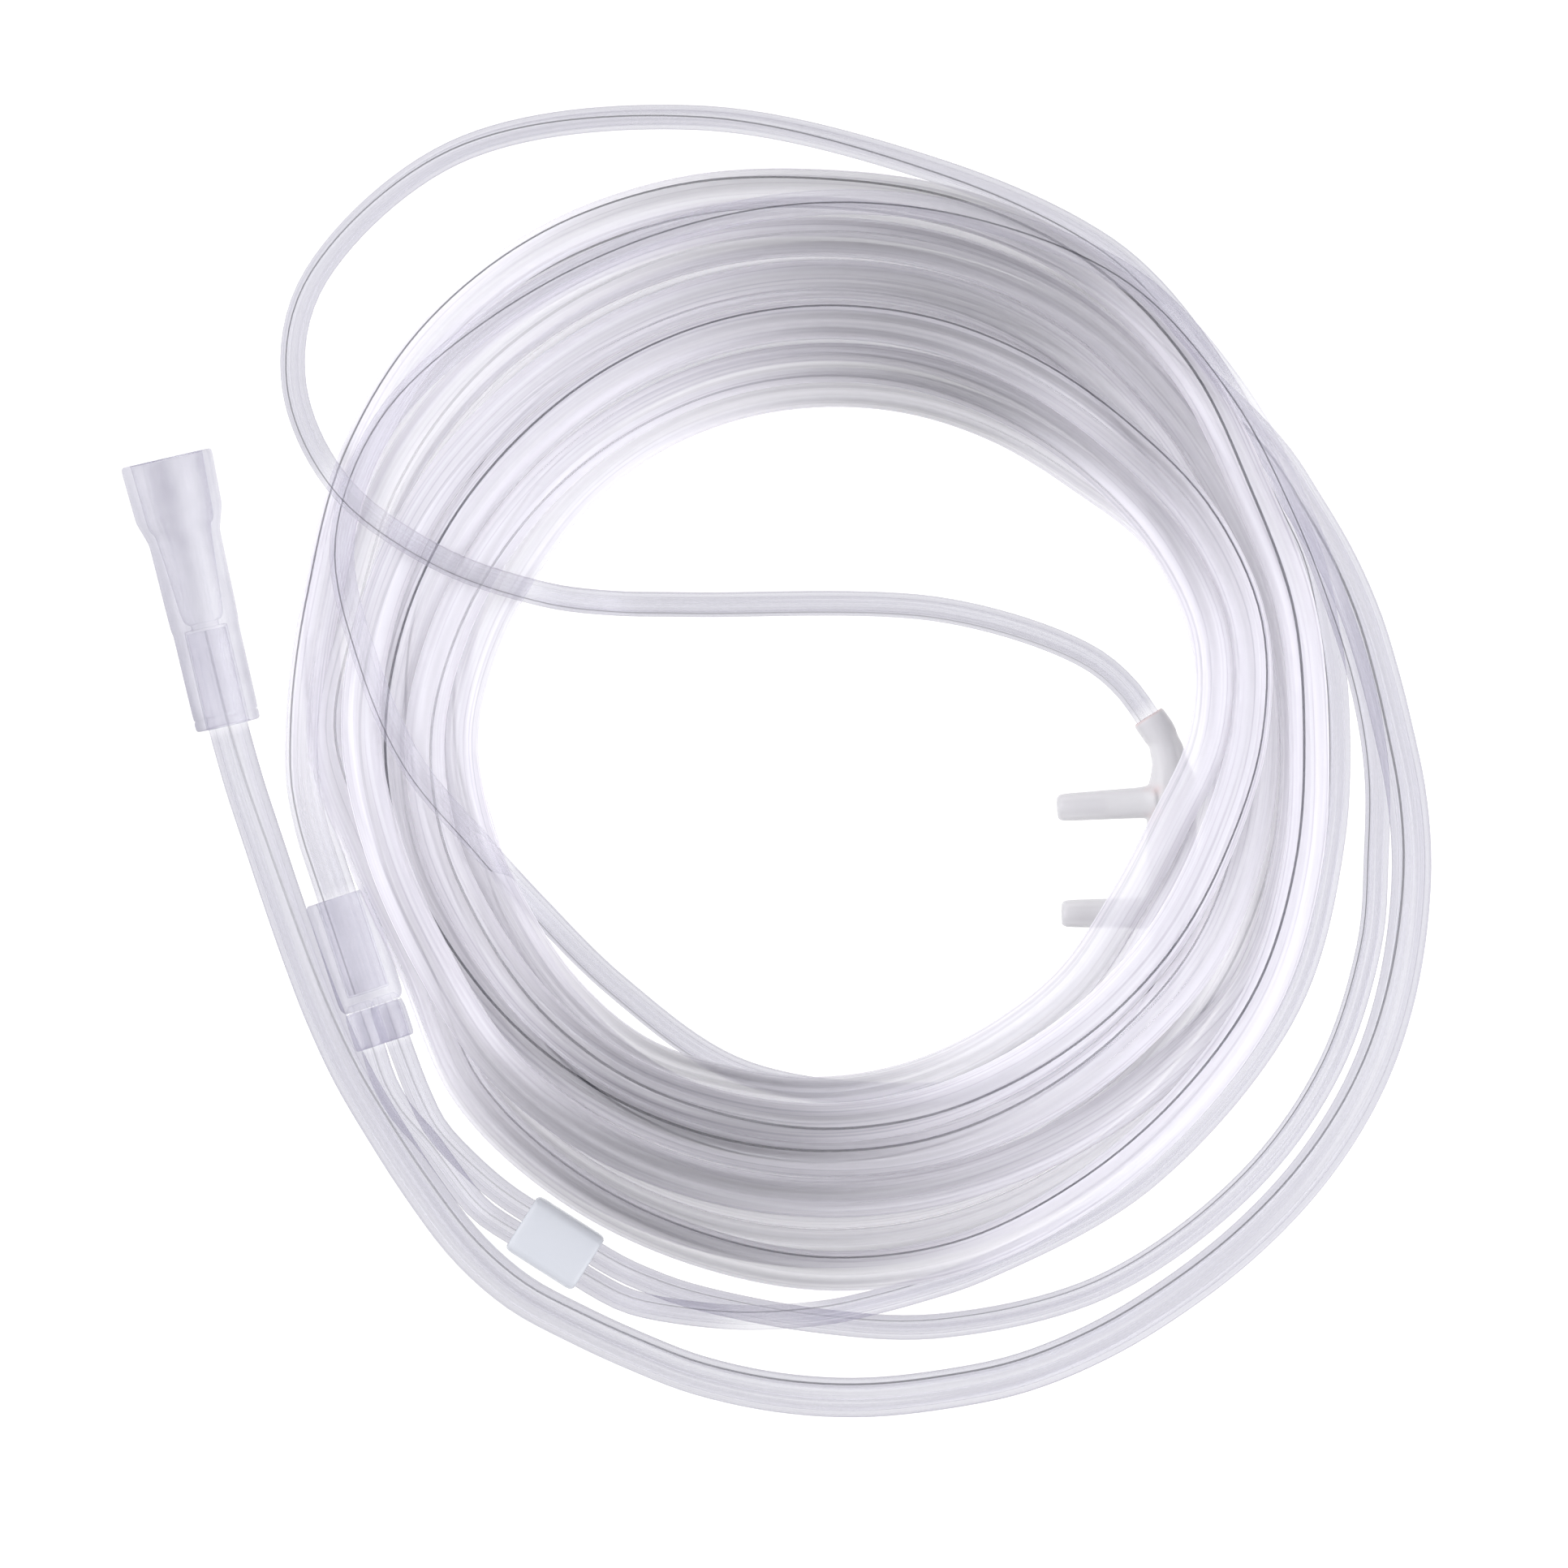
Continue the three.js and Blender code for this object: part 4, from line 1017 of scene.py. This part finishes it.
# %% White table
FLOOR_HEIGHT = -0.0003
floor = make_object(
    "floor", np.array([[-1, -1, 0], [1, -1, 0], [1, 1, 0], [-1, 1, 0]]) * 2.0, [[0, 1, 2, 3]], smooth=False,
)
floor.location = (0, 0, FLOOR_HEIGHT)
paper = bpy.data.materials.new("white_table")
paper.use_nodes = True
table = paper.node_tree.nodes["Principled BSDF"]
socket(table, "Base Color", (0.12, 0.12, 0.12, 1))
socket(table, "Roughness", 0.9)
socket(table, "Specular IOR Level", 0.0)
socket(table, "Emission Color", (1, 1, 1, 1))
socket(table, "Emission Strength", 1.0)
floor.data.materials.append(paper)
print("table at", FLOOR_HEIGHT, "m")

# %% Studio light
LIGHT_AXIS = (0.951, -0.309)
PANEL_MIDDLE, PANEL_SPREAD = 0.72, 0.3
SIDE_LIGHT = 3.7
DIM_LIGHT = 0.09


def studio_light():
    """World light by direction d, with a = |0.951 dx - 0.309 dy|: dim + side exp(-((a - 0.72) / 0.3)^2), so
    two broad soft panels stand left and right of the table, turned a little, and the other sides stay dim."""
    world = bpy.data.worlds.new("studio")
    world.use_nodes = True
    tree = world.node_tree
    where = tree.nodes.new("ShaderNodeTexCoord")
    axes = tree.nodes.new("ShaderNodeSeparateXYZ")
    tree.links.new(where.outputs["Generated"], axes.inputs["Vector"])
    across = maths(tree, "MULTIPLY", axes.outputs["X"], LIGHT_AXIS[0])
    across = maths(tree, "ABSOLUTE", maths(tree, "MULTIPLY_ADD", axes.outputs["Y"], LIGHT_AXIS[1], across))
    off = maths(tree, "DIVIDE", maths(tree, "SUBTRACT", across, PANEL_MIDDLE), PANEL_SPREAD)
    panel = maths(tree, "EXPONENT", maths(tree, "MULTIPLY", maths(tree, "MULTIPLY", off, off), -1.0))
    strength = maths(tree, "MULTIPLY_ADD", panel, SIDE_LIGHT, DIM_LIGHT)
    background = tree.nodes["Background"]
    socket(background, "Color", (0.97, 0.97, 1, 1))
    tree.links.new(strength, background.inputs["Strength"])
    return world


scene.world = studio_light()
print("world", scene.world.name, "with side light", SIDE_LIGHT, "and dim light", DIM_LIGHT)
scene.view_settings.view_transform = "Standard"
scene.cycles.max_bounces = 1
scene.cycles.diffuse_bounces = 1
scene.cycles.glossy_bounces = 1
scene.cycles.transparent_max_bounces = 32
